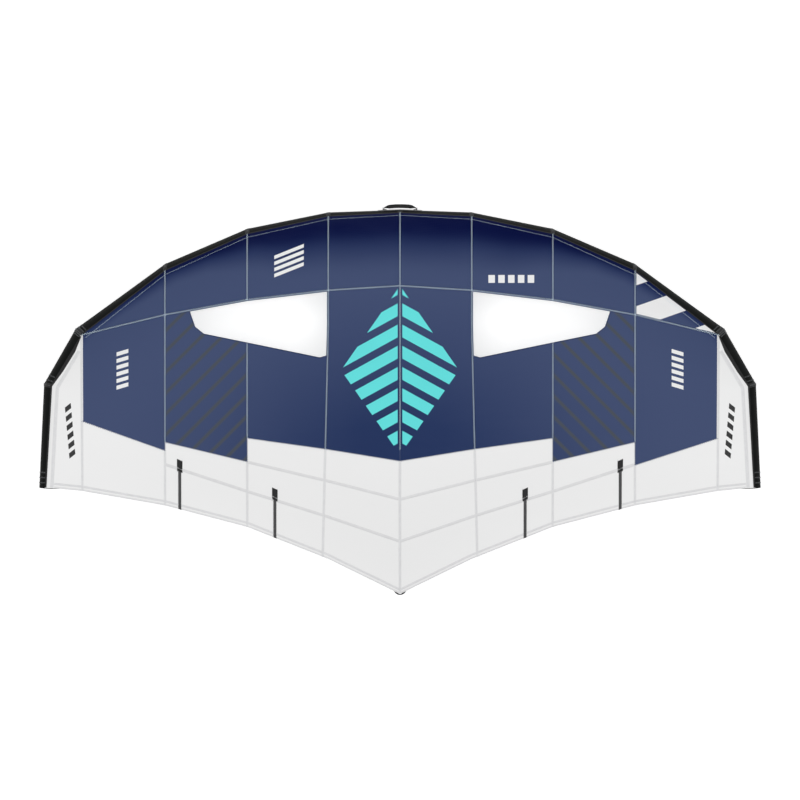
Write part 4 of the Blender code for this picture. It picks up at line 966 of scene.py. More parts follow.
def frontRim(angles, offset):
    # the front rim follows the round back of the leading edge: y = back - sqrt(r * r - dz * dz)
    rim = strutAt(np.full(1, tubeBackY), angles, offset)
    fall = wing["tipSetback"] * wing["setbackShares"][1] * np.abs(rim[..., 0]) / outline[1, 0]
    reach = radii[0] + wing["gap"]
    rim[..., 1] = centres[0, 1] - fall - np.sqrt(reach ** 2 - (rim[..., 2] - centres[0, 2]) ** 2)
    return rim[None]


def strutSkin(name, finishes, offset, atTube):
    # rings from front to tail, closed by a round tail that may have its own finish
    angles = np.linspace(0, 2 * np.pi, strut["around"], endpoint=False)
    places = np.linspace(tubeBackY - strut["frontGap"], tailY, strut["rows"])
    rows = strutAt(places[:, None], angles[None], offset)
    if atTube:
        rows = np.concatenate([frontRim(angles, offset), rows])
    swell = np.linspace(0, np.pi / 2, strut["domeRings"] + 1)[1:, None, None]
    middle = strutAxis(np.array(tailY))
    dome = middle + (rows[-1] - middle) * np.maximum(np.cos(swell), 1e-4)
    dome = dome - np.sin(swell) * [0.0, strut["tailRadius"] + offset, 0.0]
    rows = np.concatenate([rows, dome])
    atTail = np.arange(len(rows) - 1) >= len(rows) - strut["domeRings"] - 1
    slots = np.repeat(atTail.astype(int), strut["around"]) if len(finishes) > 1 else None
    return closedSkin(name, rows, finishes, angles * strut["mapRadius"], slots)


strutPiece = strutSkin("strutSkin", [sailclothFinish, strapFinish], 0.0, True)
strutBladder = strutSkin("strutBladder", [bladderFinish], -leadingEdge["bladderInset"], False)
print("strut made")


# Seams: tapes, hems and stitches that lie on the cloth; slot 0 on blue cloth, 1 on white cloth
seams = (Bundle(), Bundle())
sewing = {
    "seamTape": 0.0145, "seamDrift": 0.1, "driftStart": 0.3, "frontStart": -0.97, "ringStart": -0.93, "shortest": 0.002,
    "frontHem": 0.0275, "frontBinding": 0.0055, "tipEnd": 0.997, "tipHem": 0.036, "tipHemTape": 0.018,
    "tipHemInset": 0.01, "tipBinding": ([4, 4.3, 4.7, 5, 6], [0.004, 0.02, 0.018, 0.009, 0.009]),
    "bindingArcs": (0.0, 0.03, 0.5, 0.97, 1.0), "bindingHeights": (0.0, 0.0006, 0.0008, 0.0006, -0.0002),
    "edgeTape": (0.0055, 0.010), "hemTape": (0.0225, 0.013), "tipInward": 0.97, "lineTape": 0.017, "windowTape": 0.006,
    "lineHeights": ((-0.5071, -0.4143, -0.3164), (-0.7213, -0.5964, -0.4663, -0.3286)),
    "dropHeight": 2.0, "hemSteps": 400, "tipHemSteps": 160, "columnSteps": 40, "inwardSteps": 30,
}


def seamLine(firstAcross, firstY, lastAcross, lastY, count=60):
    # a seam that is straight by its column count and y
    across = np.linspace(firstAcross, lastAcross, count)
    y = blend(firstY, lastY, (across - firstAcross) / (lastAcross - firstAcross))
    return sailPath(across, backAt(across, y))


def dropped(first, last, count=80):
    # even steps along a plan line, dropped straight down on the sewn sheet
    level = blend(np.asarray(first), np.asarray(last), np.linspace(0, 1, count)[:, None])
    hits = [clothTree.ray_cast((x, y, sewing["dropHeight"]), (0.0, 0.0, -1.0))[:2] for x, y in level]
    points, normals = zip(*(hit for hit in hits if hit[0]))
    return np.array(points), upwards(np.array(normals))


def hemBack(across, arc):
    # how far back over the tube this arc length from the cloth's front edge lies
    wrapped = np.radians(np.interp(across, np.arange(7.0), leave - coverStart))
    return -1 + arc / (wrapped * np.interp(across, np.arange(7.0), radii))


def driftedPath(seam, backs):
    # a seam between columns; seam 1 runs outwards behind the first third: across + drift * (back - start)
    drift = sewing["seamDrift"] * (seam == 1) * np.clip(backs - sewing["driftStart"], 0.0, None)
    return sailPath(seam + drift, backs)


def sewSeams():
    # each path with its slot and sides; slot 2 is a colour line, which has no tape
    paths = [(dropped(*canopy["tipSeam"], 160), 1, both), (dropped(*rightLine), 2, rightOnly)]
    # where the blue cloth ends beside each seam; the last seam differs from side to side
    for seam, outerY, sides in (
            (0, colourY[0, 0], rightOnly), (1, colourY[1, 0], both), (2, colourY[2, 0], both),
            (3, colourY[3, 0], leftOnly), (3, rightColour[0], rightOnly)):
        fore, aft = sorted(float(backAt(float(seam), y)) for y in (colourY[max(seam - 1, 0), 1], outerY))
        stops = [(0.0, fore)]
        if seam == 2:
            # a window lies across this seam
            window = backAt(2.0, np.array([crossY[2], np.interp(2.0, windowAcross, windowLow)]))
            stops = [(0.0, window[0]), (window[1], fore)]
        start = sewing["ringStart" if seam else "frontStart"]
        wrapped = driftedPath(seam, np.linspace(start, 0.0, 20))
        runs = [driftedPath(seam, np.linspace(*stop, 60)) for stop in stops]
        runs[0] = tuple(np.concatenate([first, second[1:]]) for first, second in zip(wrapped, runs[0]))
        paths += [(run, 0, sides) for run in runs]
        if aft - fore > sewing["shortest"]:
            paths.append((driftedPath(seam, np.linspace(fore, aft, 12)), 2, sides))
        paths.append((driftedPath(seam, np.linspace(aft, 1.0, 40)), 1, sides))
    for column, (crossLine, colourLine) in enumerate(seamLines):
        paths.append((dropped(*crossLine), 0, both))
        paths.append((dropped(*colourLine), 2, both if column < 3 else leftOnly))
    for path, slot, sides in paths:
        if slot == 2:
            sew(seams, path, 0.0, "colourLine", slot, sides)
        else:
            sew(seams, path, sewing["seamTape"], "seam", slot, sides)


def addBinding(surface, first, run, widths):
    # black cloth folded over the front edge: arc lengths from 0 to the width, over the tube
    arcs = np.array(sewing["bindingArcs"]) * np.asarray(widths)[:, None]
    points, normals = surfaceFrame(surface, first[:, None], hemBack(run[:, None], arcs), wing["lift"])
    points = points + upwards(normals) * np.array(sewing["bindingHeights"])[:, None]
    for side in both:
        seams[0].add(points * [side, 1.0, 1.0], gridFaces(len(first), 5), paired(first[:, None], arcs), 3)


def tipPath(share, inward):
    points, normals = surfaceFrame(tipAt, share, inward, wing["lift"])
    return points, upwards(normals)


def sewHems():
    across = np.linspace(0, 4, sewing["hemSteps"])
    sew(seams, sailPath(across, hemBack(across, sewing["frontHem"])), 0.0, "frontHem")
    addBinding(clothAt, across, across, np.full(len(across), sewing["frontBinding"]))
    share = np.linspace(0.0, sewing["tipEnd"], sewing["tipHemSteps"])
    run = tipRun(share)
    addBinding(tipAt, share, run, np.interp(run, *sewing["tipBinding"]))
    points, normals = tipPath(share, hemBack(run, sewing["tipHem"]))
    outside = points[:, 0] > tipLine(points[:, 1]) + sewing["tipHemInset"]
    sew(seams, (points[outside], normals[outside]), sewing["tipHemTape"], "tipHem", 1)
    # rear hem: a grey tape on the edge, a white gap, then a second grey tape and its stitches
    across = np.concatenate([np.linspace(column, column + 1, sewing["columnSteps"]) for column in range(4)])
    chord = np.interp(across, np.arange(5.0), seamStarts[:, 1] - seamEnds[:, 1])
    inward = np.linspace(sewing["tipInward"], 0.0, sewing["inwardSteps"])
    for (distance, width), kind in ((sewing["edgeTape"], None), (sewing["hemTape"], "rearHem")):
        sew(seams, sailPath(across, 1 - distance / chord), width, kind, 1)
        share = np.full(len(inward), 1 - distance / (tipEdges[0, 1] - tipEdges[2, 1]))
        sew(seams, tipPath(share, inward), width, kind, 1)
    for heights in sewing["lineHeights"]:
        for column, (near, far) in enumerate(zip(heights[:-1], heights[1:])):
            sew(seams, seamLine(column, near, column + 1, far), sewing["lineTape"], slot=2)


sewSeams()
sewHems()
for near in range(4):
    corners = [value for place in (near, near + 1) for value in (windowAcross[place], windowLow[place])]
    sew(seams, seamLine(*corners, 30), sewing["windowTape"])
tapePiece = seams[0].piece("seamTapes", [navyTape, greyTape, lineTape, patchFinish])
# the seam tapes carry the same painted shade as the cloth under them
addShades(tapePiece)
threadPiece = seams[1].piece("seamStitches", [paleThread, greyThread, navyThread], smooth=False)
print("seams sewn:", len(threadPiece.data.polygons), "stitch faces")


# Ring seams of the tube and the strut, with their stitches
tubeSeams = (Bundle(), Bundle())
tubeSewing = {
    "bandWidth": 0.024, "bandHeights": (-0.0004, 0.0005, 0.0010, 0.0005, -0.0004), "stitchShare": 0.66,
    "bottomTurn": 1.08, "topTurn": 3.0,
    "threadLift": 0.0012, "bandLift": 0.0010, "markLift": 0.0008, "noseLift": 0.0005,
    "marks": (((3.94, 3.97, 4.0, 4.03, 4.06, 4.84, 4.92, 5.0, 5.85, 5.9, 5.95), (2.62, 2.985), "tipMark"),
              ((1.0, 2.0, 3.0), (2.84, 2.93), "bendMark")),
    "backTurn": 1.62, "backEnd": 5.95, "backTape": 0.022, "strutTape": 0.02, "strutDegrees": (205.0, 335.0),
    "strutEnds": (0.085, 0.01), "strutAngles": (0.55, 2.45), "strutFront": 0.01,
    "ringSteps": 60, "backSteps": 300, "strutSteps": 120, "strutRingSteps": 50,
}


def ringPath(place, firstTurn, lastTurn, lift):
    # round the tube at one place along it, with normals away from its middle
    count = tubeSewing["ringSteps"]
    points = tubeAt(float(place), np.linspace(firstTurn, lastTurn, count))
    middle = tubeAt(float(place), np.linspace(0, 3, count, endpoint=False)).mean(axis=0)
    normals = unit(points - middle)
    return points + normals * lift, normals


def ringBand(bend):
    # a tape that follows the tube on both sides of a bend, with a row of stitches near each edge
    half, ends = tubeSewing["bandWidth"] / 2, (tubeSewing["bottomTurn"], tubeSewing["topTurn"])
    runs = np.linalg.norm(np.diff(centres, axis=0), axis=1)
    reach = np.array(tapeForm["offsets"]) * half
    places = bend + reach / runs[[bend - 1, bend - 1, bend, bend, bend]]
    turns = np.linspace(*ends, tubeSewing["ringSteps"])
    grid = tubeAt(places[None], turns[:, None], np.array(tubeSewing["bandHeights"])[None])
    uv = paired(pathLengths(grid[:, 2])[:, None], reach)
    for side in both:
        tubeSeams[0].add(grid * [side, 1.0, 1.0], gridFaces(len(turns), 5), uv)
    for run, share in ((bend - 1, -tubeSewing["stitchShare"]), (bend, tubeSewing["stitchShare"])):
        path = ringPath(bend + share * half / runs[run], *ends, 0.0)
        sew(tubeSeams, path, 0.0, "ring", lift=tubeSewing["bandLift"])


def sewTube():
    for bend in range(1, 6):
        ringBand(bend)
    for places, turns, kind in tubeSewing["marks"]:
        for place in places:
            sew(tubeSeams, ringPath(place, *turns, tubeSewing["markLift"]), 0.0, kind, 1)
    raised = {"crown": tapeForm["thick"], "lift": tubeSewing["threadLift"]}
    nose = ringPath(0.0, tubeSewing["bottomTurn"], tubeSewing["topTurn"], tubeSewing["noseLift"])
    sew(tubeSeams, nose, tubeSewing["bandWidth"], "nose", sides=rightOnly, **raised)
    places = np.linspace(0.0, tubeSewing["backEnd"], tubeSewing["backSteps"])
    back = tubeAt(places, tubeSewing["backTurn"])
    middle = tubeAt(places[:, None], np.linspace(0, 3, 30, endpoint=False)[None]).mean(axis=1)
    sew(tubeSeams, (back, unit(back - middle)), tubeSewing["backTape"], "tubeBack", **raised)
    ys = np.linspace(tubeBackY - tubeSewing["strutFront"], tailY, tubeSewing["strutSteps"])
    lines = [(ys, math.radians(degrees), "strutSide") for degrees in tubeSewing["strutDegrees"]]
    angles = np.linspace(*(np.pi * share for share in tubeSewing["strutAngles"]), tubeSewing["strutRingSteps"])
    front, tail = tubeSewing["strutEnds"]
    lines += [(np.full(len(angles), y), angles, "strutRing") for y in (tubeBackY - front, tailY + tail)]
    for ys, angles, kind in lines:
        points = strutAt(ys, angles)
        path = (points, unit(points - strutAxis(ys)))
        sew(tubeSeams, path, tubeSewing["strutTape"], kind, sides=rightOnly, **raised)


sewTube()
tubeTapePiece = tubeSeams[0].piece("tubeSeamTapes", [patchFinish])
tubeThreadPiece = tubeSeams[1].piece("tubeStitches", [darkThread, dimThread], smooth=False)


# Battens: stiffeners in black pockets on top of the rear panels
battens = {
    "offsets": (0.6375, 1.1215), "length": 0.252, "width": 0.0155, "patchLength": 0.06, "patchWidth": 0.0285,
    "height": 0.0034, "patchRise": 0.0004, "overlap": 0.004, "slant": 0.5, "stitchPlace": 0.044, "stitchShare": 0.46,
    "edgeShare": 0.42, "edgeLift": 0.0022, "endLift": 0.0036, "lastColumnShare": 0.228, "step": 0.006,
    "columns": 11, "roundness": 2.4, "easing": 0.006, "endHeights": (0.25, 0.75), "clearance": 0.0002,
    "pathSteps": 40, "rowSteps": 12,
}


def pillowStrip(bundle, path, width, height, slant, slot):
    # a pocket over a stiffener: height * (1 - |o| ** 2.4) across, easing to its two slanted ends
    middle, up, run, cross, lengths = stepped(path, battens["step"])
    offsets = np.linspace(-1, 1, battens["columns"])
    least, more = battens["endHeights"]
    ends = smoothShare(np.minimum(lengths, lengths[-1] - lengths) / battens["easing"])
    rise = (1 - np.abs(offsets) ** battens["roundness"])[None] * height * (least + more * ends[:, None])
    grid = middle[:, None] + (cross + run * slant)[:, None] * (offsets * width / 2)[:, None]
    grid = grid + up[:, None] * (rise + battens["clearance"])[..., None]
    bundle.add(grid, gridFaces(len(middle), len(offsets)), paired(lengths[:, None], offsets * width / 2), slot)


def makeBatten(offset, sideName, side):
    across = float(acrossAt(offset))
    column = int(across)
    rear = float(blend(seamEnds[column, 1], seamEnds[column + 1, 1], across - column))
    start = rear + battens["length"]
    patchEnd = start - battens["patchLength"]
    bundle = Bundle()
    for first, last, width, height, slot in (
            (patchEnd + battens["overlap"], rear, battens["width"], battens["height"], 3),
            (start, patchEnd, battens["patchWidth"], battens["height"] + battens["patchRise"], 0)):
        lines = np.full(battens["pathSteps"], across)
        path = sailPath(lines, backAt(lines, np.linspace(first, last, len(lines))))
        path = onSide(side, path)
        pillowStrip(bundle, path, width, height, -side * battens["slant"], slot)
        for share in (-battens["edgeShare"], battens["edgeShare"]):
            addZigzag(bundle, path, "pocketEdge", battens["edgeLift"], 1, width * share)
    # one slanted row of stitches across the pocket's front end
    spread = np.linspace(-1, 1, battens["rowSteps"]) * battens["stitchShare"] * battens["patchWidth"]
    lines = across + spread / (wing["halfSpan"] * battens["lastColumnShare"])
    path = sailPath(lines, backAt(lines, start - battens["stitchPlace"] + spread * battens["slant"]))
    addZigzag(bundle, onSide(side, path), "pocketEnd", battens["endLift"], 2)
    name = f"battenPocket{sideName}{'Inner' if offset < 1 else 'Outer'}"
    return bundle.piece(name, [strapFinish, darkThread, greyThread, battenFinish])


battenPieces = {
    f"batten_{sideName.lower()}_{place}": makeBatten(offset, sideName, side)
    for sideName, side in (("Right", 1.0), ("Left", -1.0))
    for place, offset in zip(("inner", "outer"), battens["offsets"])}
print("battens made")


# Loop handles: webbing with a padded grip round its middle
handles = {
    "front": {"length": 0.163, "depth": 0.0118, "archPower": 2.0, "grip": (0.02, 0.026), "rib": 0.006,
              "gripShares": (0.008, 0.2)},
    "strut": {"length": 0.23, "depth": 0.078, "archPower": 2.6, "grip": (0.024, 0.03), "rib": 0.008,
              "gripShares": (0.2, 0.34)},
    "strap": (0.005, 0.008, 0.018), "strapShares": (0.86, 0.98), "endRise": 0.0025, "step": 0.0022,
    "ribDepth": 0.05, "gripStart": 0.04, "ribShares": (0.6, 0.3), "stitchShift": 0.003,
    "sections": (24, 40), "girths": (0.04, 0.08), "cornerPower": 2.6,
    "nose": (0.0, 0.975186, 0.129111),
    "strutPlaces": {"Front": ((0.0, 0.38035, 0.154657), (0.0, -0.970012, 0.243055)),
                    "Rear": ((0.0, 0.0377, 0.173062), (0.0, -0.996233, -0.086717))},
}


def frameOf(origin, xAxis, zAxis):
    xAxis, zAxis = unit(np.array(xAxis, float)), unit(np.array(zAxis, float))
    return np.array(origin, float), np.stack([xAxis, np.cross(zAxis, xAxis), zAxis])


def placed(points, place):
    origin, axes = place
    return points @ axes + origin


def rounded(wave, power):
    # |w| ** (2 / power) with the sign of w
    return np.sign(wave) * np.abs(wave) ** (2 / power)


def loopPath(length, depth, archPower, count=160):
    # a flattened arch: x = -|cos t| ** p * L / 2, z = -|sin t| ** p * D, p = 2 / arch power
    turn = np.linspace(0, np.pi, count)
    x = -rounded(np.cos(turn), archPower) * length / 2
    path = np.stack([x, np.zeros(count), -np.abs(np.sin(turn)) ** (2 / archPower) * depth], 1)
    rise = np.array([0.0, 0.0, handles["endRise"]])
    path = np.concatenate([[path[0] + rise], path, [path[-1] + rise]])
    places, lengths = alongPath(path, handles["step"])
    path = sampled(path, places)
    run = unit(np.gradient(path, axis=0))
    run[0], run[-1] = (0.0, 0.0, -1.0), (0.0, 0.0, 1.0)
    return path, run, lengths


def crossOf(run):
    # square to the loop's run, in its plane
    return np.stack([-run[:, 2], np.zeros(len(run)), run[:, 0]], 1)


def bandSections(path, run, thickness, width, sides):
    # round-cornered sections across the path: |x / a| ** 2.6 + |y / b| ** 2.6 = 1
    turn = np.linspace(0, 2 * np.pi, sides, endpoint=False)
    level, across = [rounded(wave, handles["cornerPower"]) for wave in (np.cos(turn), np.sin(turn))]
    rings = path[:, None] + crossOf(run)[:, None] * (level * thickness[:, None] / 2)[..., None]
    return rings + np.array([0.0, 1.0, 0.0]) * (across * width[:, None] / 2)[..., None]


def loopSkin(name, rings, place, lengths, girth, finish):
    # section rings in a closed tube, its ends closed on their middle points
    sides = rings.shape[1]
    rings = placed(rings, place)
    ends = [np.broadcast_to(ring.mean(axis=0), ring.shape)[None] for ring in (rings[0], rings[-1])]
    rows = np.concatenate([ends[0], rings, ends[1]])
    lengths = np.concatenate([[lengths[0]], lengths, [lengths[-1]]])
    return closedSkin(name, rows, [finish], np.arange(sides) / sides * girth, lengths=lengths)


def makeHandle(name, settings, place):
    path, run, lengths = loopPath(settings["length"], settings["depth"], settings["archPower"])
    near = np.minimum(lengths, lengths[-1] - lengths) / lengths[-1]
    low, high = settings["gripShares"]
    grip = smoothShare((near - low) / (high - low))
    thickness, endWidth, fullWidth = handles["strap"]
    thickShare, wideShare = handles["strapShares"]
    wide = blend(endWidth, fullWidth, smoothShare(near / low)) * wideShare
    rings = bandSections(path, run, np.full(len(path), thickness * thickShare), wide, handles["sections"][0])
    strap = loopSkin(name + "Webbing", rings, place, lengths, handles["girths"][0], strapFinish)
    inside = np.where(grip > handles["gripStart"])[0]
    first, last = inside[0], inside[-1]
    part = slice(first, last + 1)
    # the grip's ribs: 1 - depth * (0.5 + 0.5 cos(2 pi s / rib)) ** 3, fading out towards its ends
    waves = 0.5 + 0.5 * np.cos(2 * np.pi * (lengths[part] - lengths[-1] / 2) / settings["rib"])
    fade = smoothShare((grip[part] - handles["ribShares"][0]) / handles["ribShares"][1])
    ribs = blend(1.0, 1 - handles["ribDepth"] * waves ** 3, fade)
    thick = blend(thickness, settings["grip"][0], grip[part]) * ribs
    wide = blend(wide[part], settings["grip"][1], grip[part]) * ribs
    rings = bandSections(path[part], run[part], thick, wide, handles["sections"][1])
    pad = loopSkin(name + "Grip", rings, place, lengths[part], handles["girths"][1], foamFinish)
    bundle = Bundle()
    for leg in (slice(2, first + 1), slice(last, -2)):
        normal = crossOf(run[leg])
        for face in (-1, 1):
            points = placed(path[leg] + normal * face * thickness * thickShare / 2, place)
            for shift in (-handles["stitchShift"], handles["stitchShift"]):
                addZigzag(bundle, (points, normal @ place[1] * face), "strap", 0.0, 0, shift)
    return strap, pad, bundle.piece(name + "Stitches", [darkThread], smooth=False)


nose = np.array(handles["nose"])
frontPlace = frameOf(nose, (1.0, 0.0, 0.0), centres[0] - nose)
frontHandle = makeHandle("frontHandle", handles["front"], frontPlace)
strutPlaces, strutHandles = [], {}
for name, (origin, along) in handles["strutPlaces"].items():
    place = frameOf(origin, along, -np.cross((1.0, 0.0, 0.0), along))
    settings = dict(handles["strut"], length=handles["strut"]["length"] / abs(place[1][0, 1]))
    strutHandles[name] = makeHandle(f"strutHandle{name}", settings, place)
    strutPlaces.append((place, settings["length"]))
print("handles made")


# Reinforcement patches under the handles, and the tabs that hold them
patches = {
    "frontHalf": 0.112, "frontAngles": (-24.4, 14.9), "frontSteps": (48, 20), "frontRows": (60, 20),
    "strutDegrees": 30.0, "strutRadius": 0.066, "strutShares": (0.3, 0.475), "overhang": 0.025,
    "strutSteps": (70, 16), "strutRows": (90, 16), "thickness": 0.0022, "edge": 0.0012, "insets": (0.006, 0.012),
    "tab": (0.004, 0.005), "tabGap": 0.0049, "tabTops": (0.0072, 0.0145), "foot": (0.02, 0.0092, 0.004),
    "tabLayers": ((-0.5, 0.0), (-0.5, 0.88), (-0.36, 1.0), (0.36, 1.0), (0.5, 0.88), (0.5, 0.0)), "tabSteps": 17,
}


def frontPatchSurface(x, arc):
    # a point of the tube near its middle, and the direction away from the tube's axis
    angle = arc / radii[0]
    turn = 2 + (np.degrees(angle) + 90) / (90 + coverStart[0])
    points = tubeAt(np.abs(x) / outline[1, 0], turn, wing["gap"])
    points = points * np.stack([np.where(x < 0, -1.0, 1.0), np.ones_like(x), np.ones_like(x)], -1)
    return points, np.stack([np.zeros_like(x), np.cos(angle), np.sin(angle)], -1)


def strutPatchSurface(y, arc):
    angle = -np.pi / 2 + arc / strutRadius(y)
    normals = np.stack([np.cos(angle), np.zeros_like(y), np.sin(angle)], -1)
    return strutAt(y, angle, wing["gap"]), normals


def inner(ends, inset):
    # both ends of a range moved inwards
    move = math.copysign(inset, ends[1] - ends[0])
    return ends[0] + move, ends[1] - move


def paddedSteps(ends, count):
    return np.concatenate([ends[:1], np.linspace(*inner(ends, patches["edge"]), count), ends[1:]])


def sewPatch(surface, firstEnds, secondEnds, steps, rows):
    # a thick sheet whose border falls to the surface, with two rows of stitches round it
    bundle, thickness = Bundle(), patches["thickness"]
    corners = np.meshgrid(paddedSteps(firstEnds, steps[0]), paddedSteps(secondEnds, steps[1]), indexing="ij")
    grid, normals = surface(*corners)
    rise = np.zeros(grid.shape[:2])
    rise[1:-1, 1:-1] = thickness
    bundle.add(grid + normals * rise[..., None], gridFaces(*rise.shape), np.stack(corners, -1))
    for inset in patches["insets"]:
        firsts, seconds = inner(firstEnds, inset), inner(secondEnds, inset)
        for second in seconds:
            path = surface(np.linspace(*firsts, rows[0]), np.full(rows[0], second))
            addZigzag(bundle, path, "patch", thickness, 1)
        for first in firsts:
            path = surface(np.full(rows[1], first), np.linspace(*seconds, rows[1]))
            addZigzag(bundle, path, "patch", thickness, 1)
    return bundle


def tabPiece(bundle, place, shift, top, thickness=patches["tab"][0]):
    # a sewn tab: a plate with a half-round foot, swept through its thickness with rounded edges
    radius = patches["tab"][1]
    turns = np.linspace(0, -np.pi, patches["tabSteps"])
    profile = np.concatenate([
        np.stack([radius * np.cos(turns), radius * np.sin(turns)], 1), [[-radius, top], [radius, top]]])
    middle = profile.mean(axis=0)
    rings = np.array([
        np.column_stack([np.full(len(profile), level * thickness + shift), middle + (profile - middle) * scale])
        for level, scale in patches["tabLayers"]])
    bundle.add(placed(rings, place), gridFaces(*rings.shape[:2], True), rings[..., 1:])


frontHalf = patches["frontHalf"]
frontArcs = tuple(np.radians(patches["frontAngles"]) * radii[0])
frontPatch = sewPatch(
    frontPatchSurface, (-frontHalf, frontHalf), frontArcs, patches["frontSteps"], patches["frontRows"])
tabShift = handles["front"]["length"] / 2 + patches["tabGap"]
# each front tab stands on a doubled strip of webbing that fills the gap to the tube
footWidth, footDrop, footTop = patches["foot"]
footPlace = (frontPlace[0] + frontPlace[1][2] * footDrop, frontPlace[1])
for side in both[::-1]:
    tabPiece(frontPatch, frontPlace, side * tabShift, patches["tabTops"][0])
    tabPiece(frontPatch, footPlace, side * (tabShift + (patches["tab"][0] - footWidth) / 2), footTop, footWidth)
frontPatchPiece = frontPatch.piece("frontHandlePatch", [patchFinish, greyThread])

half = handles["strut"]["length"] / 2 + patches["overhang"]
frontShare, rearShare = patches["strutShares"]
strutArc = math.radians(patches["strutDegrees"]) * patches["strutRadius"]
strutPatch = sewPatch(
    strutPatchSurface, (setback(frontShare) + half, setback(rearShare) - half), (-strutArc, strutArc),
    patches["strutSteps"], patches["strutRows"])
for place, length in strutPlaces:
    for side in both[::-1]:
        tabPiece(strutPatch, place, side * (length / 2 + patches["tabGap"]), patches["tabTops"][1])
strutPatchPiece = strutPatch.piece("strutHandlePatch", [patchFinish, greyThread])
print("patches made")


# Valve: the moulded parts keep their own shapes; a bonded patch and grip ridges are added
valve = {
    "offset": 0.22, "angle": 168.0, "reaches": (0.0237, 0.03, 0.036, 0.042, 0.047, 0.048),
    "rises": (0.0010, 0.0010, 0.0010, 0.0010, 0.0008, -0.0005), "radiusShare": 0.99, "stitchReaches": (0.034, 0.045),
    "capRadius": 0.0235, "ridges": 28, "hingeGap": 0.5, "ridgeEnds": (0.0129, 0.0151),
    "ridgeForm": ((-0.0004, -0.0008), (0.0005, 0.0), (-0.0004, 0.0008)), "stitchLift": 0.0013, "around": 64,
}


def valvePlace():
    # on the back of the tube, left of the middle: z away from the tube, x along it
    share = valve["offset"] / outline[1, 0]
    middle = blend(centres[0], centres[1], share)
    depths = stretches * radii
    backs = centres[:2] - depths[:2, None] * fronts[:2]
    run = (backs[0] - backs[1]) * [-1.0, 1.0, 1.0]
    along = unit(np.array([run[0], run[1], 0.0]))
    angle = math.radians(valve["angle"])
    out = np.array([-along[1], along[0], 0.0]) * math.cos(angle) + np.array([0.0, 0.0, math.sin(angle)])
    return frameOf(middle * [-1.0, 1.0, 1.0] + out * float(blend(depths[0], depths[1], share)), along, out)


def circle(reaches, turns):
    return np.stack([np.multiply.outer(reaches, np.cos(turns)), np.multiply.outer(reaches, np.sin(turns))], -1)


def sagging(flat):
    # down to the tube's round: sqrt(r * r - y * y) - r
    radius = radii[0] * valve["radiusShare"]
    return np.sqrt(radius ** 2 - flat[..., 1] ** 2) - radius


place = valvePlace()
valvePatch = Bundle()
turns = np.linspace(0, 2 * np.pi, valve["around"], endpoint=False)
flat = circle(np.array(valve["reaches"]), turns)
heights = sagging(flat) + np.array(valve["rises"])[:, None]
disc = np.concatenate([flat, heights[..., None]], -1)
valvePatch.add(placed(disc, place), gridFaces(*flat.shape[:2], True)[:, ::-1], flat)
for reach in valve["stitchReaches"]:
    ring = circle(reach, np.append(turns, 0.0))
    points = placed(np.column_stack([ring, sagging(ring)]), place)
    addZigzag(valvePatch, (points, np.broadcast_to(place[1][2], points.shape)), "valvePatch", valve["stitchLift"], 1)
valvePatchPiece = valvePatch.piece("valvePatch", [patchFinish, darkThread])

ridges = Bundle()
bar = np.array([[valve["capRadius"] + out, wide, z] for z in valve["ridgeEnds"] for out, wide in valve["ridgeForm"]])
for turn in np.linspace(0, 2 * np.pi, valve["ridges"], endpoint=False):
    # no ridges at the hinge, a quarter turn round
    if abs((turn - np.pi / 2 + np.pi) % (2 * np.pi) - np.pi) < valve["hingeGap"]:
        continue
    cos, sin = math.cos(turn), math.sin(turn)
    spun = np.stack([bar[:, 0] * cos - bar[:, 1] * sin, bar[:, 0] * sin + bar[:, 1] * cos, bar[:, 2]], 1)
    ridges.add(placed(spun, place), np.array([[0, 1, 4, 3], [1, 2, 5, 4], [2, 0, 3, 5]]), spun[:, :2])
ridgePiece = ridges.piece("valveCapRidges", [plasticFinish], smooth=False)

for node, finish in (("valve_base", plasticFinish), ("valve_cap", plasticFinish),
                     ("valve_core", greyPlasticFinish), ("bladder_port", greyPlasticFinish)):
    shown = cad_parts[node]
    shown.data.materials.clear()
    shown.data.materials.append(finish.material)
print("valve made")


# Each piece rides on its body and stands for its solids
def named(start):
    return [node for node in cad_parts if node.startswith(start)]


def rideOn(piece, body, slotName, *stands):
    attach(piece, body)
    if stands:
        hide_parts(*stands)


for piece, slotName, *stands in (
        (sheet, "navy_ripstop", *named("canopy_")),
        (windows[0], "clear_film", "window_right"),
        (windows[1], "clear_film", "window_left"),
        (tapePiece, "navy_ripstop"),
        (threadPiece, "white_ripstop"),
        (tubePiece, "black_sailcloth", *named("leading_edge_sleeve")),
        (strutPiece, "black_sailcloth", "strut_sleeve", "strut_tail_cap"),
        (tubeBladder, "bladder_film", "leading_edge_bladder"),
        (strutBladder, "bladder_film", "strut_bladder"),
        (tubeTapePiece, "black_webbing"),
        (tubeThreadPiece, "black_webbing"),
        *((piece, "black_webbing", node) for node, piece in battenPieces.items())):
    rideOn(piece, "wing", slotName, *stands)
for (strap, pad, stitching), body, node in (
        (frontHandle, "front_handle_body", "front_handle"),
        (strutHandles["Front"], "strut_handle_front_body", "strut_handle_front"),
        (strutHandles["Rear"], "strut_handle_rear_body", "strut_handle_rear")):
    rideOn(strap, body, "black_webbing", node)
    rideOn(pad, body, "black_foam", node)
    rideOn(stitching, body, "black_webbing")
rideOn(frontPatchPiece, "wing", "black_webbing", "front_handle_patch")
rideOn(strutPatchPiece, "wing", "black_webbing", "strut_handle_patch")
rideOn(valvePatchPiece, "wing", "black_webbing")
rideOn(ridgePiece, "valve_cap_body", "black_plastic")


def sheetArea(piece):
    return float(meshArray(piece.data, "polygons", "area", 1).sum())


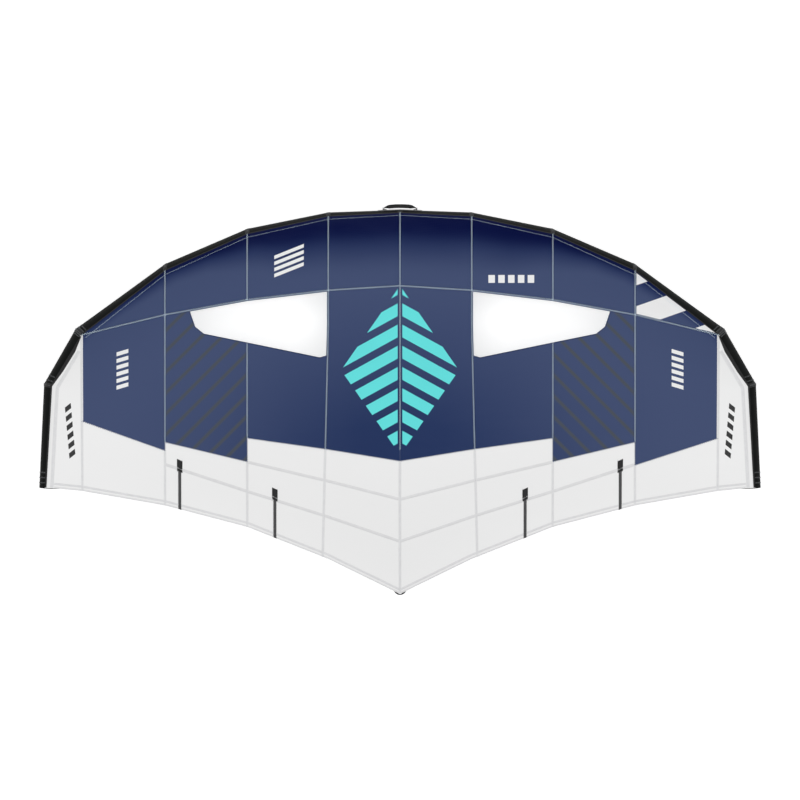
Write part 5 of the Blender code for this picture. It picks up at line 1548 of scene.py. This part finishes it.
clothArea = sheetArea(sheet)
for window in windows:
    sheetArea(window)
print(f"cloth area {clothArea:.3f}, with windows {clothArea + sum(map(sheetArea, windows)):.3f} square metres")


# Floor and light: white to the eye, plain on the object
studio = {"floor": 6.0, "drop": 0.0005, "eyeGlow": 0.62, "world": 0.5, "lampHeight": 7.0, "lampSize": 6.0,
          "lampPower": 300.0, "floorTones": (0.88, 0.9), "floorGrain": 3.0}


def grey(value):
    return (value, value, value, 1.0)


def whiteToEye(finish):
    # 1 for straight looks and mirrors only, so that a glow by it lights nothing and the shadow stays
    path = finish.node("ShaderNodeLightPath").socket.node
    seen = [Wire(finish, path.outputs[name]) for name in ("Is Camera Ray", "Is Glossy Ray", "Is Transmission Ray")]
    return (seen[0] + seen[1] + seen[2]).clamped(0.0, 1.0)


def makeFloor():
    # a floor that is there from above only, so that the underside can be looked at
    finish = Finish("paleFloor", Roughness=0.9, Specular_IOR_Level=0.0, Emission_Strength=1.0)
    grain = finish.noise(studio["floorGrain"])
    finish.feed(
        Base_Color=finish.mixed(grain, *map(grey, studio["floorTones"])),
        Alpha=1.0 - finish.node("ShaderNodeNewGeometry", output="Backfacing"),
        Emission_Color=finish.mixed(whiteToEye(finish), grey(0.0), grey(studio["eyeGlow"])))
    corners = np.array([[-1, -1, 0], [1, -1, 0], [1, 1, 0], [-1, 1, 0]]) * studio["floor"]
    makePiece("floor", corners - [0, 0, studio["drop"]], np.array([[0, 1, 2, 3]]), [finish])


def makeWorld():
    world = bpy.data.worlds.new("paleStudio")
    world.use_nodes = True
    bpy.context.scene.world = world
    tree = world.node_tree
    path = tree.nodes.new("ShaderNodeLightPath")
    mix = tree.nodes.new("ShaderNodeMix")
    mix.inputs[2].default_value, mix.inputs[3].default_value = studio["world"], 1.0
    tree.links.new(path.outputs["Is Camera Ray"], mix.inputs[0])
    tree.links.new(mix.outputs[0], tree.nodes["Background"].inputs["Strength"])
    tree.nodes["Background"].inputs["Color"].default_value = grey(1.0)


makeFloor()
makeWorld()
# a square lamp over the wing; unturned, it points straight down
lamp = bpy.data.lights.new("skyLamp", "AREA")
lamp.size, lamp.energy = studio["lampSize"], studio["lampPower"]
linked("skyLamp", lamp).location = (0.0, 0.0, studio["lampHeight"])
bpy.context.scene.view_settings.view_transform = "Standard"
